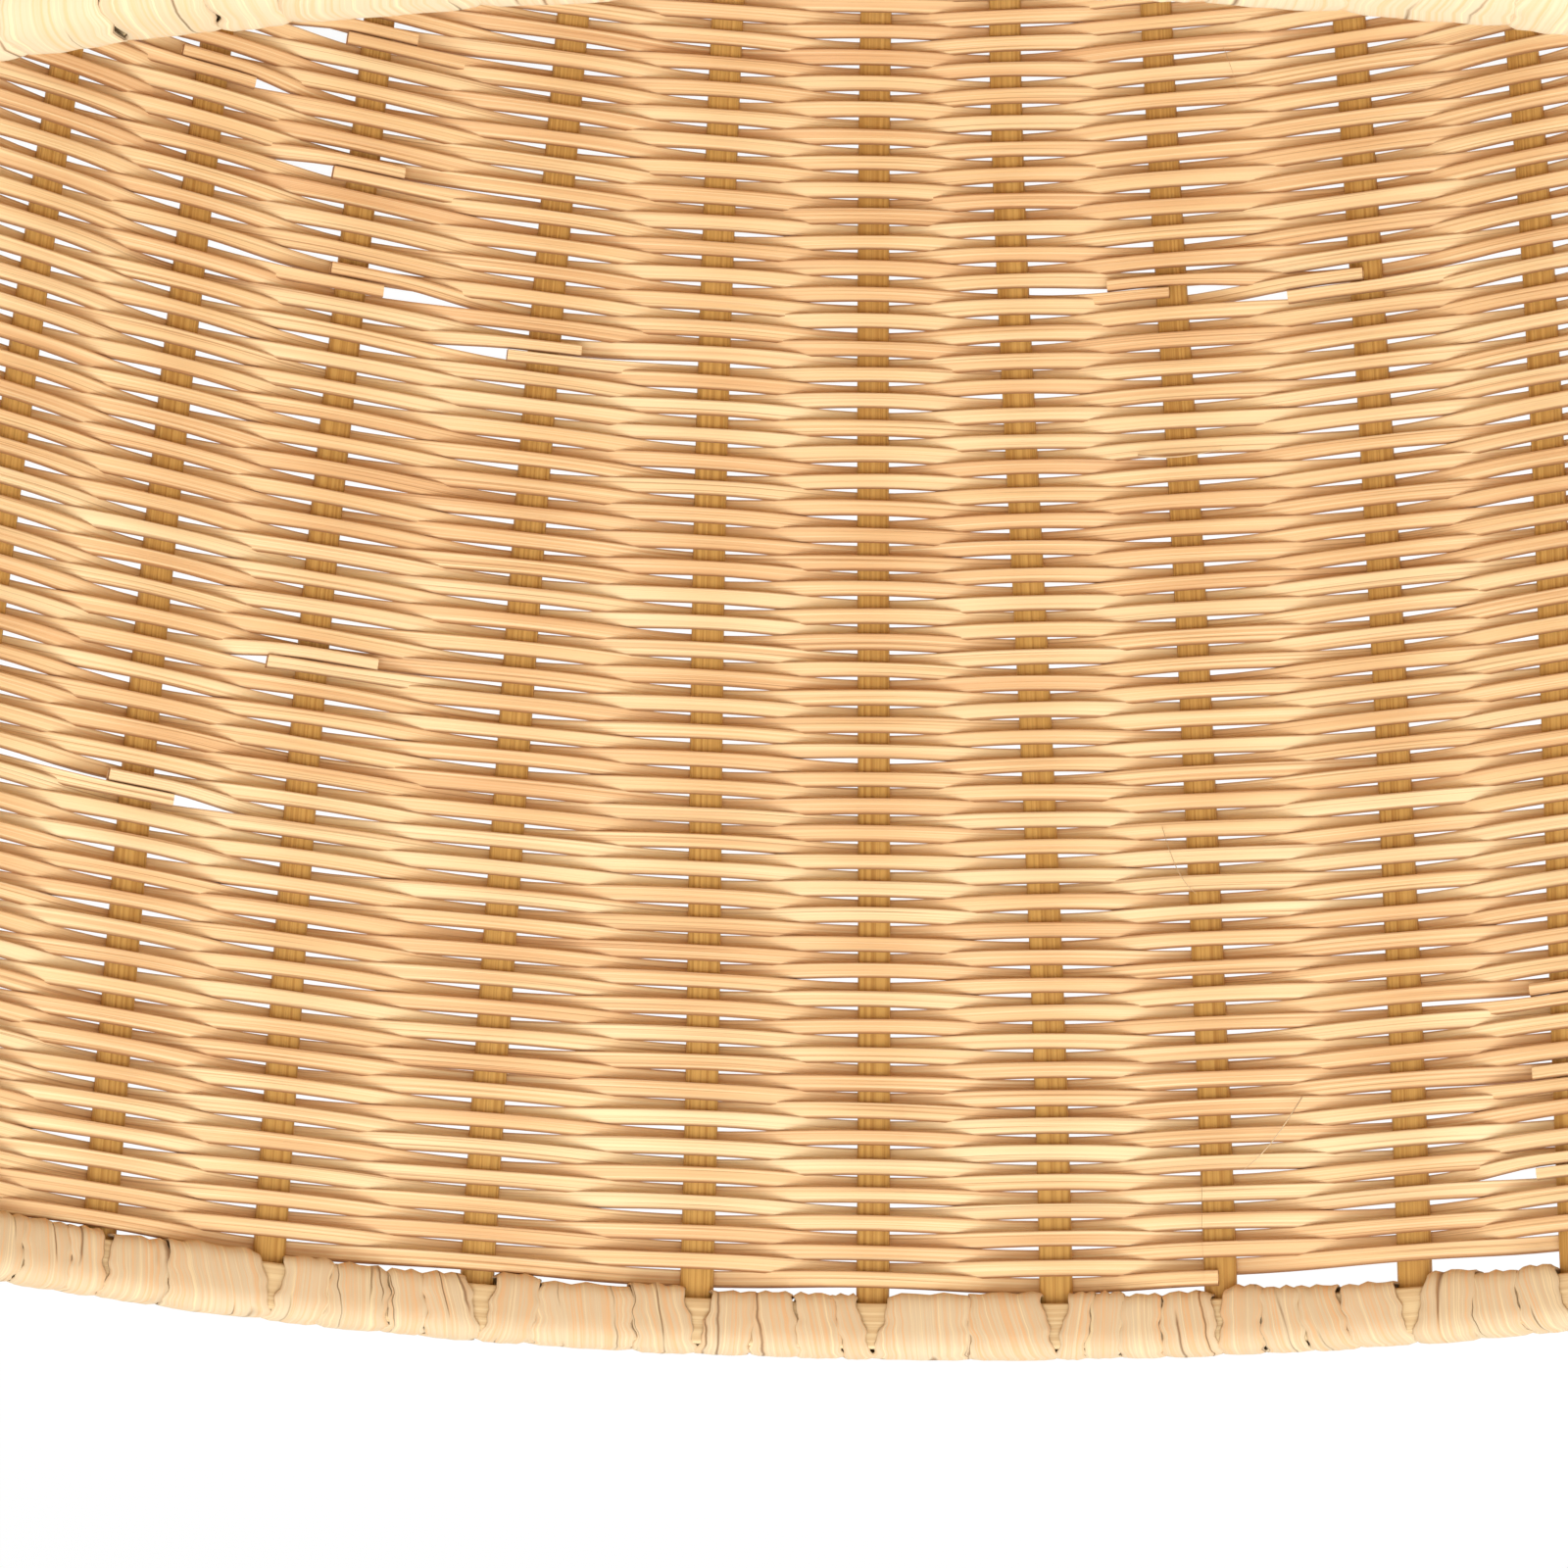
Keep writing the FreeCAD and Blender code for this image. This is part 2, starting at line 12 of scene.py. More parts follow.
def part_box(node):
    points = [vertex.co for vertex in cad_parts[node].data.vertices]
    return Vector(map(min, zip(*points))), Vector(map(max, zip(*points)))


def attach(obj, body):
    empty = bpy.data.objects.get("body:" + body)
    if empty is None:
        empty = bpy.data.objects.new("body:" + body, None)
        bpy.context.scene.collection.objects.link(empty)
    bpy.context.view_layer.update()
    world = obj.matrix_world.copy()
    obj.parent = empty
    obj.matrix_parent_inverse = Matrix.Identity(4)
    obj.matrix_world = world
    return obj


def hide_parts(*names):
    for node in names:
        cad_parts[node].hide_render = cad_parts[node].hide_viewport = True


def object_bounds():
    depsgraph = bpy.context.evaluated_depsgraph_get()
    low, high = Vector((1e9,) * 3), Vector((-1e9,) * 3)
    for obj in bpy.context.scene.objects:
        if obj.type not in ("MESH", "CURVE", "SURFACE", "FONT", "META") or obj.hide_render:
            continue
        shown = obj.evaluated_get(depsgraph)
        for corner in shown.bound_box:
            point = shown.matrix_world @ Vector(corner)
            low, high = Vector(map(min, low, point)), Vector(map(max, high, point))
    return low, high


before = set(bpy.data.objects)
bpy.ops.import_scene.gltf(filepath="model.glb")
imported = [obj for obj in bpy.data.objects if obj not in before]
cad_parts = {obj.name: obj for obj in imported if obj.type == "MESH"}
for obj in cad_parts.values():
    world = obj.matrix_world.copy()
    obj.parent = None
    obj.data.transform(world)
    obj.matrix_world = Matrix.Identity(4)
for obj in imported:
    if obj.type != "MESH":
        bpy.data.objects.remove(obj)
CAD_LOW, CAD_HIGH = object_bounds()

bl_info = {
    "name": "Wicker Basket",
    "version": (1, 0, 0),
    "blender": (4, 5, 0),
    "location": "View3D > Sidebar > Basket",
    "description": "Round basket of woven cane with a bound rim",
    "category": "Add Mesh",
}

SECTORS = 6
STAKE_GAPS = (7.2, 8.8, 8.0, 7.0, 6.7, 6.8, 8.3, 7.2)
HEEL_BANDS = 8
WALL_BANDS = 9
BASE_BANDS = ("base_weave_centre_1", "base_weave_centre_2", "base_weave_middle_1",
              "base_weave_middle_2", "base_weave_outer_1", "base_weave_outer_2",
              "base_weave_foot_1", "base_weave_edge_1")
BASE_BAND_EDGES = (19.0, 29.5, 40.0, 58.0, 76.0, 92.3, 109.0, 115.0, 123.0)
CANE_MAP = "cane"
TONE = "tone"
FLANK = "flank"
TUBE_SPACING = 4.0
MILLIMETRE = 0.001
WHITE = (1.0, 1.0, 1.0, 1.0)

# Metres, apart from the counts and shares.
LEAN_SWAP = 0.2
STAKE_END = 1.6 * MILLIMETRE
STAKE_SEEDS = {"first": 20, "second": 30}
HOOP_SEEDS = {"rim_inner_hoop": 41, "rim_outer_hoop": 42}
HALF_BEND = 3 * MILLIMETRE

# Where one length of cane stops and the next starts: bays over which the ends settle into the
# row, how much narrower they get, how far they part up and down, and how far they stand in.
END_SETTLES = (0.35, 1.2)
END_SQUEEZE = 0.22
END_PARTING = 0.42
END_STAND = 0.35 * MILLIMETRE
# How far cane rolls over between two stakes, and how much narrower it gets there.
CANE_ROLL = 0.95
CANE_PINCH = 0.03

# Joints that are not listed keep to this part of the way round, away from the listed ones.
SPREAD_JOINTS = (0.4, 1.08)

# A binding strip: its share of a full turn, how far it laps over its neighbour, and how wide the
# gap at a stake is at the foot, over the lip, at the inner edge and back at the foot.
STRIP_TURN = 1.04
STRIP_OVERLAP = 1.03
VEE_WIDTHS = (1.0, -0.12, 1.0, 1.0)
RIM_GAP = 9.05 * MILLIMETRE

SPREAD_HAIRS = 80
HAIR_STAND = 2.3 * MILLIMETRE

FLOOR_RADIUS = 9.0
FLOOR_PLAY = 0.2 * MILLIMETRE
FLOOR_GLOW = 0.82
WORLD_LIGHT = 0.9
LAMP_TARGET = (0, 0, 0.15)
LAMPS = (("key", (0.1, -1.5, 1.7), 1.4, 34), ("fill", (-1.6, 0.6, 1.6), 1.6, 10))

# The camera's azimuth, yaw, pitch and roll in degrees, its lens and sensor in millimetres, and
# how far it is from the basket's axis and above the lip.
CAMERA_TURNS = (92.375, -1.358, 19.426, 180.967)
CAMERA_LENS = 124.22
CAMERA_SENSOR = 36.0
CAMERA_REACH = 0.5331
CAMERA_RISE = 0.1751

# Rows whose cane ends where it shows, counted down from the rim: the stake in front of which
# the two lengths meet, how far they overlap in bays, and whether the new one lies above.
SHOWN_JOINTS = {
    0: (8, -4, 0), 6: (8, 0.4, 1), 12: (8, 0.4, -1), 18: (8, 0.4, -1), 30: (0, 0.4, -1),
    41: (1, 0.6, 1), 66: (2, 0.4, 1), 69: (1, 0.3, -1), 71: (6.8, 0.4, 1), 72: (5.8, 0.4, -1),
    77: (1, 0.4, 1), 82: (0, 0.5, -1), 87: (1, 0.4, 1),
}

# How far the stakes of the same part of the wall lean sideways at the lip, in millimetres.
SHOWN_LEANS = (0.5, -0.5, -1.5, 1, 1, 3, 2, 0, -2.5)
# A few hairs there: stake and millimetres below the lip, at the start and at the end.
SHOWN_HAIRS = (
    (4.2, 35, 4.2, 10), (6.5, 35, 6.2, 25), (6, 25, 6, 10), (5.7, 130, 6.2, 130),
    (5.8, 75, 6, 65), (6.3, 190, 6.4, 180),
)


def srgb(red, green, blue):
    """Linear colour of an 8-bit sRGB one."""
    shares = (value / 255 for value in (red, green, blue))
    return tuple(s / 12.92 if s <= 0.04045 else ((s + 0.055) / 1.055) ** 2.4 for s in shares)


def length(name, description, millimetres):
    return FloatProperty(name=name, description=description, default=millimetres * MILLIMETRE,
                         unit="LENGTH", precision=5)


def angle(name, description, degrees):
    return FloatProperty(name=name, description=description, default=math.radians(degrees),
                         subtype="ANGLE")


def colour(name, description, rgb):
    return FloatVectorProperty(name=name, description=description, default=srgb(*rgb),
                               subtype="COLOR", size=3, min=0.0, max=1.0)


class BasketForm(PropertyGroup):
    """Shape of the stakes' middle surface, which everything else follows."""
    base_level: length("Base level", "Height of the middle of the stakes in the flat base", 10.6)
    flat_radius: length("Flat radius", "Radius where the heel starts", 123)
    heel_radius: length("Heel bend", "Bend between the base and the wall", 60)
    wall_radius: length("Wall bulge", "Bulge of the wall", 1320)
    heel_lean: angle("Heel lean", "Lean of the wall from upright, above the heel", 10.2)
    lip_lean: angle("Lip lean", "Lean of the wall from upright, at the lip", 2.0)
    cross_edge: length("Cross edge", "Radius where the weave starts", 19)
    first_start: length("First side stakes", "Radius where they start", 40)
    second_start: length("Second side stakes", "Radius where they start", 76)
    wobble: length("Wobble", "How far the rows wander up and down together", 0.45)


class BasketCane(PropertyGroup):
    """Sizes of the cane and splints."""
    stake_width: length("Stake width", "Width of a stake", 4.6)
    stake_thickness: length("Stake thickness", "Thickness of a stake", 2.0)
    stick_spacing: length("Stick spacing", "Middle to middle where the base sticks cross", 5.3)
    cross_reach: length("Cross reach", "Straight part of a middle base stick", 9.0)
    slit_swell: length("Slit swell", "Middle of a slit stick to the middle of a leaf", 1.5)
    row_pitch: length("Row pitch", "From one row of cane to the next", 2.0145)
    first_row: length("First row", "From the lip to the middle of the top row", 9.89)
    weaver_width: length("Weaver width", "Width of the woven cane", 2.3)
    weaver_thickness: length("Weaver thickness", "Thickness of the woven cane", 0.95)
    swing: length("Swing", "How far the cane goes to each side of the stakes", 1.52)


class BasketRim(PropertyGroup):
    """Sizes of the rim and of the foot's lashings."""
    hoop_height: length("Hoop height", "Height of the rim hoops", 6.4)
    hoop_thickness: length("Hoop thickness", "Thickness of the rim hoops", 1.3)
    binding_thickness: length("Binding thickness", "Thickness of the rim binding", 0.5)
    vee_width: length("Vee width", "Widest gap in the binding at a stake", 5.0)
    lashing_width: length("Lashing width", "Width of a foot lashing", 3.0)
    lashing_thickness: length("Lashing thickness", "Thickness of a foot lashing", 0.8)


class BasketColours(PropertyGroup):
    """Colours of the cane, splints and stage."""
    weaver_light: colour("Weaver, light", "Palest woven cane", (254, 235, 188))
    weaver_mid: colour("Weaver, middle", "Usual woven cane", (245, 210, 156))
    weaver_dark: colour("Weaver, dark", "Darkest woven cane", (228, 180, 128))
    # This colour gives the cane's dark fibres, and it also paints the shade along the edges of the
    # woven cane, a painted contact shadow between rows.
    weaver_fibre_and_edge_shade: colour("Weaver, flank", "Cut sides and dark fibres of the cane", (158, 100, 52))
    stake_light: colour("Stake, light", "Palest stake", (220, 176, 98))
    stake_dark: colour("Stake, dark", "Grooves of a stake", (166, 114, 48))
    hoop_light: colour("Hoop, light", "Palest part of a hoop", (240, 216, 168))
    hoop_dark: colour("Hoop, dark", "Grain of a hoop", (205, 170, 122))
    binding_light: colour("Binding, light", "Palest binding", (222, 201, 166))
    binding_mid: colour("Binding, middle", "Usual binding", (205, 178, 139))
    binding_dark: colour("Binding, dark", "Splits in the binding", (128, 88, 52))
    floor: colour("Floor", "Floor and backdrop", (245, 245, 244))


# ---------------------------------------------------------------- shape of the basket

class Middle:
    """Middle surface of the stakes, by distance along it from the centre of the base."""

    def __init__(self, form):
        self.floor = form.base_level
        self.flat = form.flat_radius
        self.heel = form.heel_radius
        self.wall = form.wall_radius
        self.lean = form.heel_lean
        self.heel_end = self.flat + self.heel * (math.pi / 2 - self.lean)
        self.lip_end = self.heel_end + self.wall * (self.lean - form.lip_lean)
        heel_top_r = self.flat + self.heel * math.cos(self.lean)
        heel_top_z = self.floor + self.heel * (1 - math.sin(self.lean))
        self.wall_r = heel_top_r - self.wall * math.cos(self.lean)
        self.wall_z = heel_top_z + self.wall * math.sin(self.lean)
        self.lip_r = self.wall_r + self.wall * math.cos(form.lip_lean)
        self.lip_z = self.wall_z - self.wall * math.sin(form.lip_lean)

    def section(self, along, out):
        """Radii and heights of points that stand out from the middle surface."""
        heel_tilt = (along - self.flat) / self.heel - math.pi / 2
        wall_tilt = (along - self.heel_end) / self.wall - self.lean
        heel_reach = self.heel + out
        wall_reach = self.wall + out
        where = [along <= self.flat, along <= self.heel_end]
        radius = np.select(where, [along, self.flat + heel_reach * np.cos(heel_tilt)],
                           self.wall_r + wall_reach * np.cos(wall_tilt))
        height = np.select(where, [self.floor - out,
                                   self.floor + self.heel + heel_reach * np.sin(heel_tilt)],
                           self.wall_z + wall_reach * np.sin(wall_tilt))
        return radius, height

    def lean_share(self, along):
        """A lean at the lip goes over to the other side lower down, and ends in the heel."""
        swap = np.cos(math.pi * (self.lip_end - along) / LEAN_SWAP)
        return swap * smooth(along, self.flat, self.heel_end)

    def place(self, along, out, turn, sideways=0.0):
        """Points at an angle round the basket, moved sideways from it."""
        radius, height = self.section(along, out)
        cos, sin = np.cos(turn), np.sin(turn)
        return np.stack((radius * cos - sideways * sin, radius * sin + sideways * cos,
                         height + 0 * cos), axis=-1)


def stake_turns():
    """Angles of the forty-eight wall stakes, in radians."""
    within = np.cumsum((0.0,) + STAKE_GAPS[:-1])
    sixth = 360 / SECTORS
    return np.radians(np.concatenate([within + sector * sixth for sector in range(SECTORS)]))


def stake_leans():
    """How far each of them leans sideways at the lip."""
    leans = np.random.default_rng(8).uniform(-1.6, 1.6, SECTORS * len(STAKE_GAPS))
    leans[len(STAKE_GAPS):len(STAKE_GAPS) + len(SHOWN_LEANS)] = SHOWN_LEANS
    return leans * MILLIMETRE


def turn_among(stakes, position):
    """Angle, or other measure, at a place among the stakes: 3.5 is halfway from 3 to 4."""
    bays = len(stakes) - 1
    rounds = np.floor(position / bays)
    return np.interp(position - rounds * bays, np.arange(bays + 1), stakes), rounds


def wave(position, squareness=0.8):
    """1 in front of even stakes and -1 behind odd ones, a little squarer than a cosine."""
    level = np.cos(math.pi * position)
    return level / np.sqrt(level ** 2 + squareness * (1 - level ** 2))


def smooth(value, low=0.0, high=1.0):
    share = np.clip((value - low) / (high - low), 0, 1)
    return share * share * (3 - 2 * share)


def on_ring(radius, turn, height):
    return np.stack((radius * np.cos(turn), radius * np.sin(turn), height), axis=-1)


def oblong(across, out, power):
    """A circle's points moved out towards the corners of its square."""
    reach = (np.abs(across) ** power + np.abs(out) ** power) ** (1 / power)
    return across / reach, out / reach


# ---------------------------------------------------------------- lengths of cane

@functools.cache
def one_tube(steps, sides):
    """A round tube, one unit tall for each step, with closed ends."""
    bm = bmesh.new()
    bmesh.ops.create_circle(bm, cap_ends=False, segments=sides, radius=1.0)
    bmesh.ops.spin(bm, geom=bm.verts[:] + bm.edges[:], cent=(0, 0, 0), axis=(0, 0, 1),
                   dvec=(0, 0, 1), angle=0.0, steps=steps, use_duplicate=False)
    bmesh.ops.holes_fill(bm, edges=bm.edges[:], sides=sides)
    bmesh.ops.recalc_face_normals(bm, faces=bm.faces[:])
    mesh = bpy.data.meshes.new("straight_tube")
    bm.to_mesh(mesh)
    bm.free()
    return mesh


def straight_tubes(name, count, steps, sides):
    """Several such tubes, side by side."""
    bm = bmesh.new()
    bm.from_mesh(one_tube(steps, sides))
    first = bm.verts[:] + bm.edges[:] + bm.faces[:]
    for tube in range(1, count):
        copy = bmesh.ops.duplicate(bm, geom=first)["geom"]
        points = [part for part in copy if isinstance(part, bmesh.types.BMVert)]
        bmesh.ops.translate(bm, verts=points, vec=(tube * TUBE_SPACING, 0, 0))
    mesh = bpy.data.meshes.new(name)
    bm.to_mesh(mesh)
    bm.free()
    return mesh


def read(collection, field, kind, width=1):
    values = np.empty(len(collection) * width, dtype=kind)
    collection.foreach_get(field, values)
    return values.reshape(-1, width) if width > 1 else values


def map_cane(mesh, tube, along, round_share, girth, tones):
    """UV map in metres: along the cane, and round it, shifted for each length."""
    loops = read(mesh.loops, "vertex_index", np.int32)
    starts = read(mesh.polygons, "loop_start", np.int32)
    totals = read(mesh.polygons, "loop_total", np.int32)
    share = round_share[loops]
    sides = starts[totals == 4][:, None] + np.arange(4)
    corner = share[sides]
    seam = np.ptp(corner, axis=1) > 0.5
    corner[seam] += corner[seam] < 0.5
    share[sides] = corner
    across = share * girth[loops] + tones[tube[loops]] * 3.0
    layer = mesh.uv_layers.new(name=CANE_MAP)
    layer.data.foreach_set("uv", np.stack((along[loops], across), axis=-1).ravel())


def sharpen_corners(mesh, across, out):
    """The four corners of flat cane stay crisp along its length."""
    corner = (np.abs(across) > 0.5) & (np.abs(out) > 0.5)
    ends = read(mesh.edges, "vertices", np.int32, 2)
    along_cane = np.isclose(across[ends[:, 0]], across[ends[:, 1]], atol=1e-3)
    along_cane &= np.isclose(out[ends[:, 0]], out[ends[:, 1]], atol=1e-3)
    crisp = mesh.attributes.new("sharp_edge", "BOOLEAN", "EDGE")
    crisp.data.foreach_set("value", corner[ends[:, 0]] & along_cane)


def bend_tubes(mesh, steps, sides, tones, place):
    """place(tube, part, across, out) gives points, distance along the cane and girth."""
    points = read(mesh.vertices, "co", np.float32, 3).astype(float)
    tube = np.rint(points[:, 0] / TUBE_SPACING).astype(int)
    across = points[:, 0] - tube * TUBE_SPACING
    out = points[:, 1]
    part = points[:, 2] / steps
    share = np.arctan2(out, across) / (2 * math.pi) % 1.0
    if sides == 8:
        sharpen_corners(mesh, across, out)
    bent, along, girth = place(tube, part, across, out)
    mesh.vertices.foreach_set("co", bent.astype(np.float32).ravel())
    map_cane(mesh, tube, along, share, girth + 0 * along, tones)
    # How far across the section a point lies, 0 in the middle of the face and 1 at the edge; the
    # woven cane's finish uses it to paint shade along the strip edges.
    flank = np.interp(np.abs(across), (0, math.sqrt(0.5), 1), (0, 0.5, 1))
    for name, values in ((TONE, tones[tube]), (FLANK, flank)):
        attribute = mesh.attributes.new(name, "FLOAT", "POINT")
        attribute.data.foreach_set("value", values.astype(np.float32))
    round_sides = read(mesh.polygons, "loop_total", np.int32) == 4
    mesh.polygons.foreach_set("use_smooth", round_sides)
    mesh.update()


def make_cane(name, steps, sides, tones, place, material, stands_for=()):
    """An object of several lengths of cane, bent into place."""
    mesh = straight_tubes(name, len(tones), steps, sides)
    bend_tubes(mesh, steps, sides, tones, place)
    piece = bpy.data.objects.new(name, mesh)
    bpy.context.collection.objects.link(piece)
    piece.data.materials.append(material)
    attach(piece, "root")
    if stands_for:
        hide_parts(*stands_for)
    return piece


# ---------------------------------------------------------------- weave

class Rows:
    """Rows of one piece of weave, each one length of cane that laps over its own start."""

    def __init__(self, middle, cane, form, numbers, apart, rng):
        self.middle = middle
        turns, leans = stake_turns()[::apart], stake_leans()[::apart]
        self.stakes = np.append(turns, turns[0] + 2 * math.pi)
        self.leans = np.append(leans, leans[0])
        self.wobble = form.wobble
        self.number = np.array(numbers)
        count = len(numbers)
        self.along = middle.lip_end - cane.first_row - cane.row_pitch * self.number
        self.side = np.where(self.number % 2 == 0, 1.0, -1.0)
        self.width = cane.weaver_width * rng.uniform(0.94, 1.07, count)
        self.thickness = cane.weaver_thickness * rng.uniform(0.9, 1.08, count)
        self.swing = cane.swing
        self.phase = rng.uniform(0, 2 * math.pi, (count, 3))
        self.tones = rng.uniform(0, 1, count)
        self.choose_joints(rng)

    def choose_joints(self, rng):
        """Joints are in front of a stake, and the two lengths lap there."""
        bays = len(self.stakes) - 1
        count = len(self.number)
        first, last = (round(bays * share) for share in SPREAD_JOINTS)
        joint = rng.integers(first, last, count) // 2 * 2 + self.number % 2
        self.joint = joint.astype(float)
        self.lap = rng.uniform(0.3, 0.6, count)
        self.lift = np.where(rng.uniform(0, 1, count) < 0.5, 1.0, -1.0)
        first_shown = round(bays / SECTORS)
        for row, number in enumerate(self.number):
            if number in SHOWN_JOINTS:
                stake, lap, lift = SHOWN_JOINTS[number]
                self.joint[row] = first_shown + stake
                self.lap[row] = lap
                self.lift[row] = lift

    def turn_at(self, position, along):
        """Angle of a place among the stakes, where they cross the row."""
        turn, rounds = turn_among(self.stakes, position)
        lean, _ = turn_among(self.leans, position)
        radius = self.middle.section(along, 0 * along)[0]
        return rounds * 2 * math.pi + turn + lean * self.middle.lean_share(along) / radius

    def place(self, row, part, across, out):
        bays = len(self.stakes) - 1
        lap = self.lap[row]
        position = self.joint[row] - lap / 2 + part * (bays + lap)
        turn = self.turn_at(position, self.along[row])
        side = self.side[row]
        number = self.number[row]
        phase = self.phase[row]

        from_start = part * (bays + lap)
        from_end = bays + lap - from_start
        near_start = 1 - smooth(from_start, *END_SETTLES)
        near_end = 1 - smooth(from_end, *END_SETTLES)
        squeeze = 1 - END_SQUEEZE * np.maximum(near_start, near_end) * (lap > 0)
        beside = side * wave(position)
        width = self.width[row] * (1 - CANE_PINCH * (1 - beside ** 2))
        width = width * squeeze * (1 + 0.03 * np.sin(7 * turn + phase[:, 2]))
        level = self.along[row]
        level = level + self.wobble * np.sin(2 * turn + 1.3 + 0.02 * number)
        level = level + 0.5 * self.wobble * np.sin(7 * turn + 0.7 - 0.03 * number)
        level = level + 0.10 * MILLIMETRE * np.sin(11 * turn + phase[:, 0])
        level = level + 0.07 * MILLIMETRE * np.sin(23 * turn + phase[:, 1])
        level = level + self.lift[row] * (near_start - near_end) * END_PARTING * self.width[row]

        stand = -self.swing * beside
        stand = stand - END_STAND * np.maximum(near_start, near_end)
        x, y = oblong(across, out, 6)
        roll = CANE_ROLL * (1 - beside ** 2)
        roll = roll + 0.12 * np.sin(17 * turn + phase[:, 1])
        roll = roll + 0.08 * np.sin(41 * turn + phase[:, 0])
        stand = stand + (y + x * roll) * self.thickness[row] / 2
        points = self.middle.place(level + x * width / 2, stand, turn)
        radius = self.middle.section(self.along, 0 * self.along)[0][row]
        girth = 2 * (self.width[row] + self.thickness[row])
        return points, turn * radius, girth


def weave_bands(group, middle, cane):
    """Name, start and end of each band of weave, measured along the stakes."""
    if group == "base_weave":
        edges = [millimetres * MILLIMETRE for millimetres in BASE_BAND_EDGES]
        names = BASE_BANDS
    elif group == "heel_weave":
        edges = np.linspace(middle.flat, middle.heel_end, HEEL_BANDS + 1)
        names = [f"{group}_{number}" for number in range(1, HEEL_BANDS + 1)]
    else:
        top = middle.lip_end - cane.first_row + cane.row_pitch / 2
        edges = np.linspace(middle.heel_end, top, WALL_BANDS + 1)
        names = [f"{group}_{number}" for number in range(1, WALL_BANDS + 1)]
    return list(zip(names, edges, edges[1:]))


def weave_pieces(group, steps_per_bay):
    """Replaces the weave nodes of one group, row by row."""
    scene = bpy.context.scene
    form, cane = scene.basket_form, scene.basket_cane
    middle = Middle(form)
    material = weaver_finish(scene.basket_colours)
    rows_to_cross = (middle.lip_end - cane.first_row - form.cross_edge) / cane.row_pitch
    levels = middle.lip_end - cane.first_row - cane.row_pitch * np.arange(int(rows_to_cross - 0.1))
    for name, begin, end in weave_bands(group, middle, cane):
        numbers = np.flatnonzero((levels >= begin) & (levels < end))
        apart = 4 if begin < form.first_start - MILLIMETRE else 1
        if apart == 1 and begin < form.second_start - MILLIMETRE:
            apart = 2
        rows = Rows(middle, cane, form, numbers, apart, np.random.default_rng(1000 + numbers[0]))
        steps = (len(rows.stakes) - 1) * steps_per_bay
        make_cane(f"{name}_cane", steps, 8, rows.tones, rows.place, material, (name,))


# ---------------------------------------------------------------- stakes

def side_stake_piece(name, chosen, start, seed):
    """Stakes of one CAD node, from where they start in the base up to the rim."""
    scene = bpy.context.scene
    cane = scene.basket_cane
    middle = Middle(scene.basket_form)
    rng = np.random.default_rng(seed)
    turns = stake_turns()[chosen]
    leans = stake_leans()[chosen]
    count = len(turns)
    width = cane.stake_width * rng.uniform(0.96, 1.04, count)
    drift = rng.uniform(-1, 1, (count, 2)) * 0.25 * MILLIMETRE
    end = middle.lip_end - STAKE_END

    def place(stake, part, across, out):
        along = start + part * (end - start)
        x, y = oblong(across, out, 5)
        sideways = -x * width[stake] / 2 * (0.55 + 0.45 * smooth(part, 0.0, 0.08))
        bends = np.sin(along * 40 + 9 * drift[stake, 1] / MILLIMETRE)
        sideways = sideways + drift[stake, 0] * bends
        sideways = sideways + leans[stake] * middle.lean_share(along)
        points = middle.place(along, y * cane.stake_thickness / 2, turns[stake], sideways)
        return points, along, 2 * (cane.stake_width + cane.stake_thickness)

    material = stake_finish(scene.basket_colours)
    return make_cane(f"{name}_splints", 90, 16, rng.uniform(0, 1, count), place, material,
                     (name,))


def lean_at(turn):
    """Sideways lean of the stake at an angle."""
    away = np.abs((stake_turns() - turn + math.pi) % (2 * math.pi) - math.pi)
    return stake_leans()[np.argmin(away)]


def base_stick_piece(name, direction, offset, right, left, slit, seed):
    """A stick from rim to rim: up one wall, across the base past the cross, and up the other."""
    scene = bpy.context.scene
    cane = scene.basket_cane
    middle = Middle(scene.basket_form)
    rng = np.random.default_rng(seed)
    half_length = middle.lip_end - STAKE_END
    leaves = 2 if slit else 1
    leaf = cane.stake_thickness / leaves

    arms = []
    for sign, beyond in ((1, right), (-1, left)):
        elbow = offset / math.sin(math.radians(beyond)) if offset else cane.cross_reach
        arms.append((sign, math.radians(direction + beyond), elbow))

    def place(number, part, across, out):
        reach = (part * 2 - 1) * half_length
        x, y = oblong(across, out, 5)
        side = np.where(number == 0, 1.0, -1.0) if slit else 0.0
        swell = cane.slit_swell * smooth(14 * MILLIMETRE - np.abs(reach), 0, 7 * MILLIMETRE)
        stand = y * leaf / 2 + side * np.maximum(leaf / 2, swell)
        sideways = x * cane.stake_width / 2
        lie = math.radians(direction)
        over = offset - sideways
        points = np.stack((reach * math.cos(lie) - over * math.sin(lie),
                           reach * math.sin(lie) + over * math.cos(lie),
                           middle.floor - stand), axis=-1)
        for sign, turn, elbow in arms:
            outward = sign * reach
            beside = lean_at(turn) * middle.lean_share(outward) - sign * sideways
            arm = middle.place(np.maximum(outward, 0.5 * elbow), stand, turn, beside)
            share = smooth(outward, elbow - HALF_BEND, elbow + HALF_BEND)[:, None]
            points = points * (1 - share) + arm * share
        return points, reach, 2 * (cane.stake_width + leaf)

    material = stake_finish(scene.basket_colours)
    tones = np.full(leaves, rng.uniform(0, 1))
    return make_cane(f"{name}_splint", 260, 16, tones, place, material, (name,))


# ---------------------------------------------------------------- rim

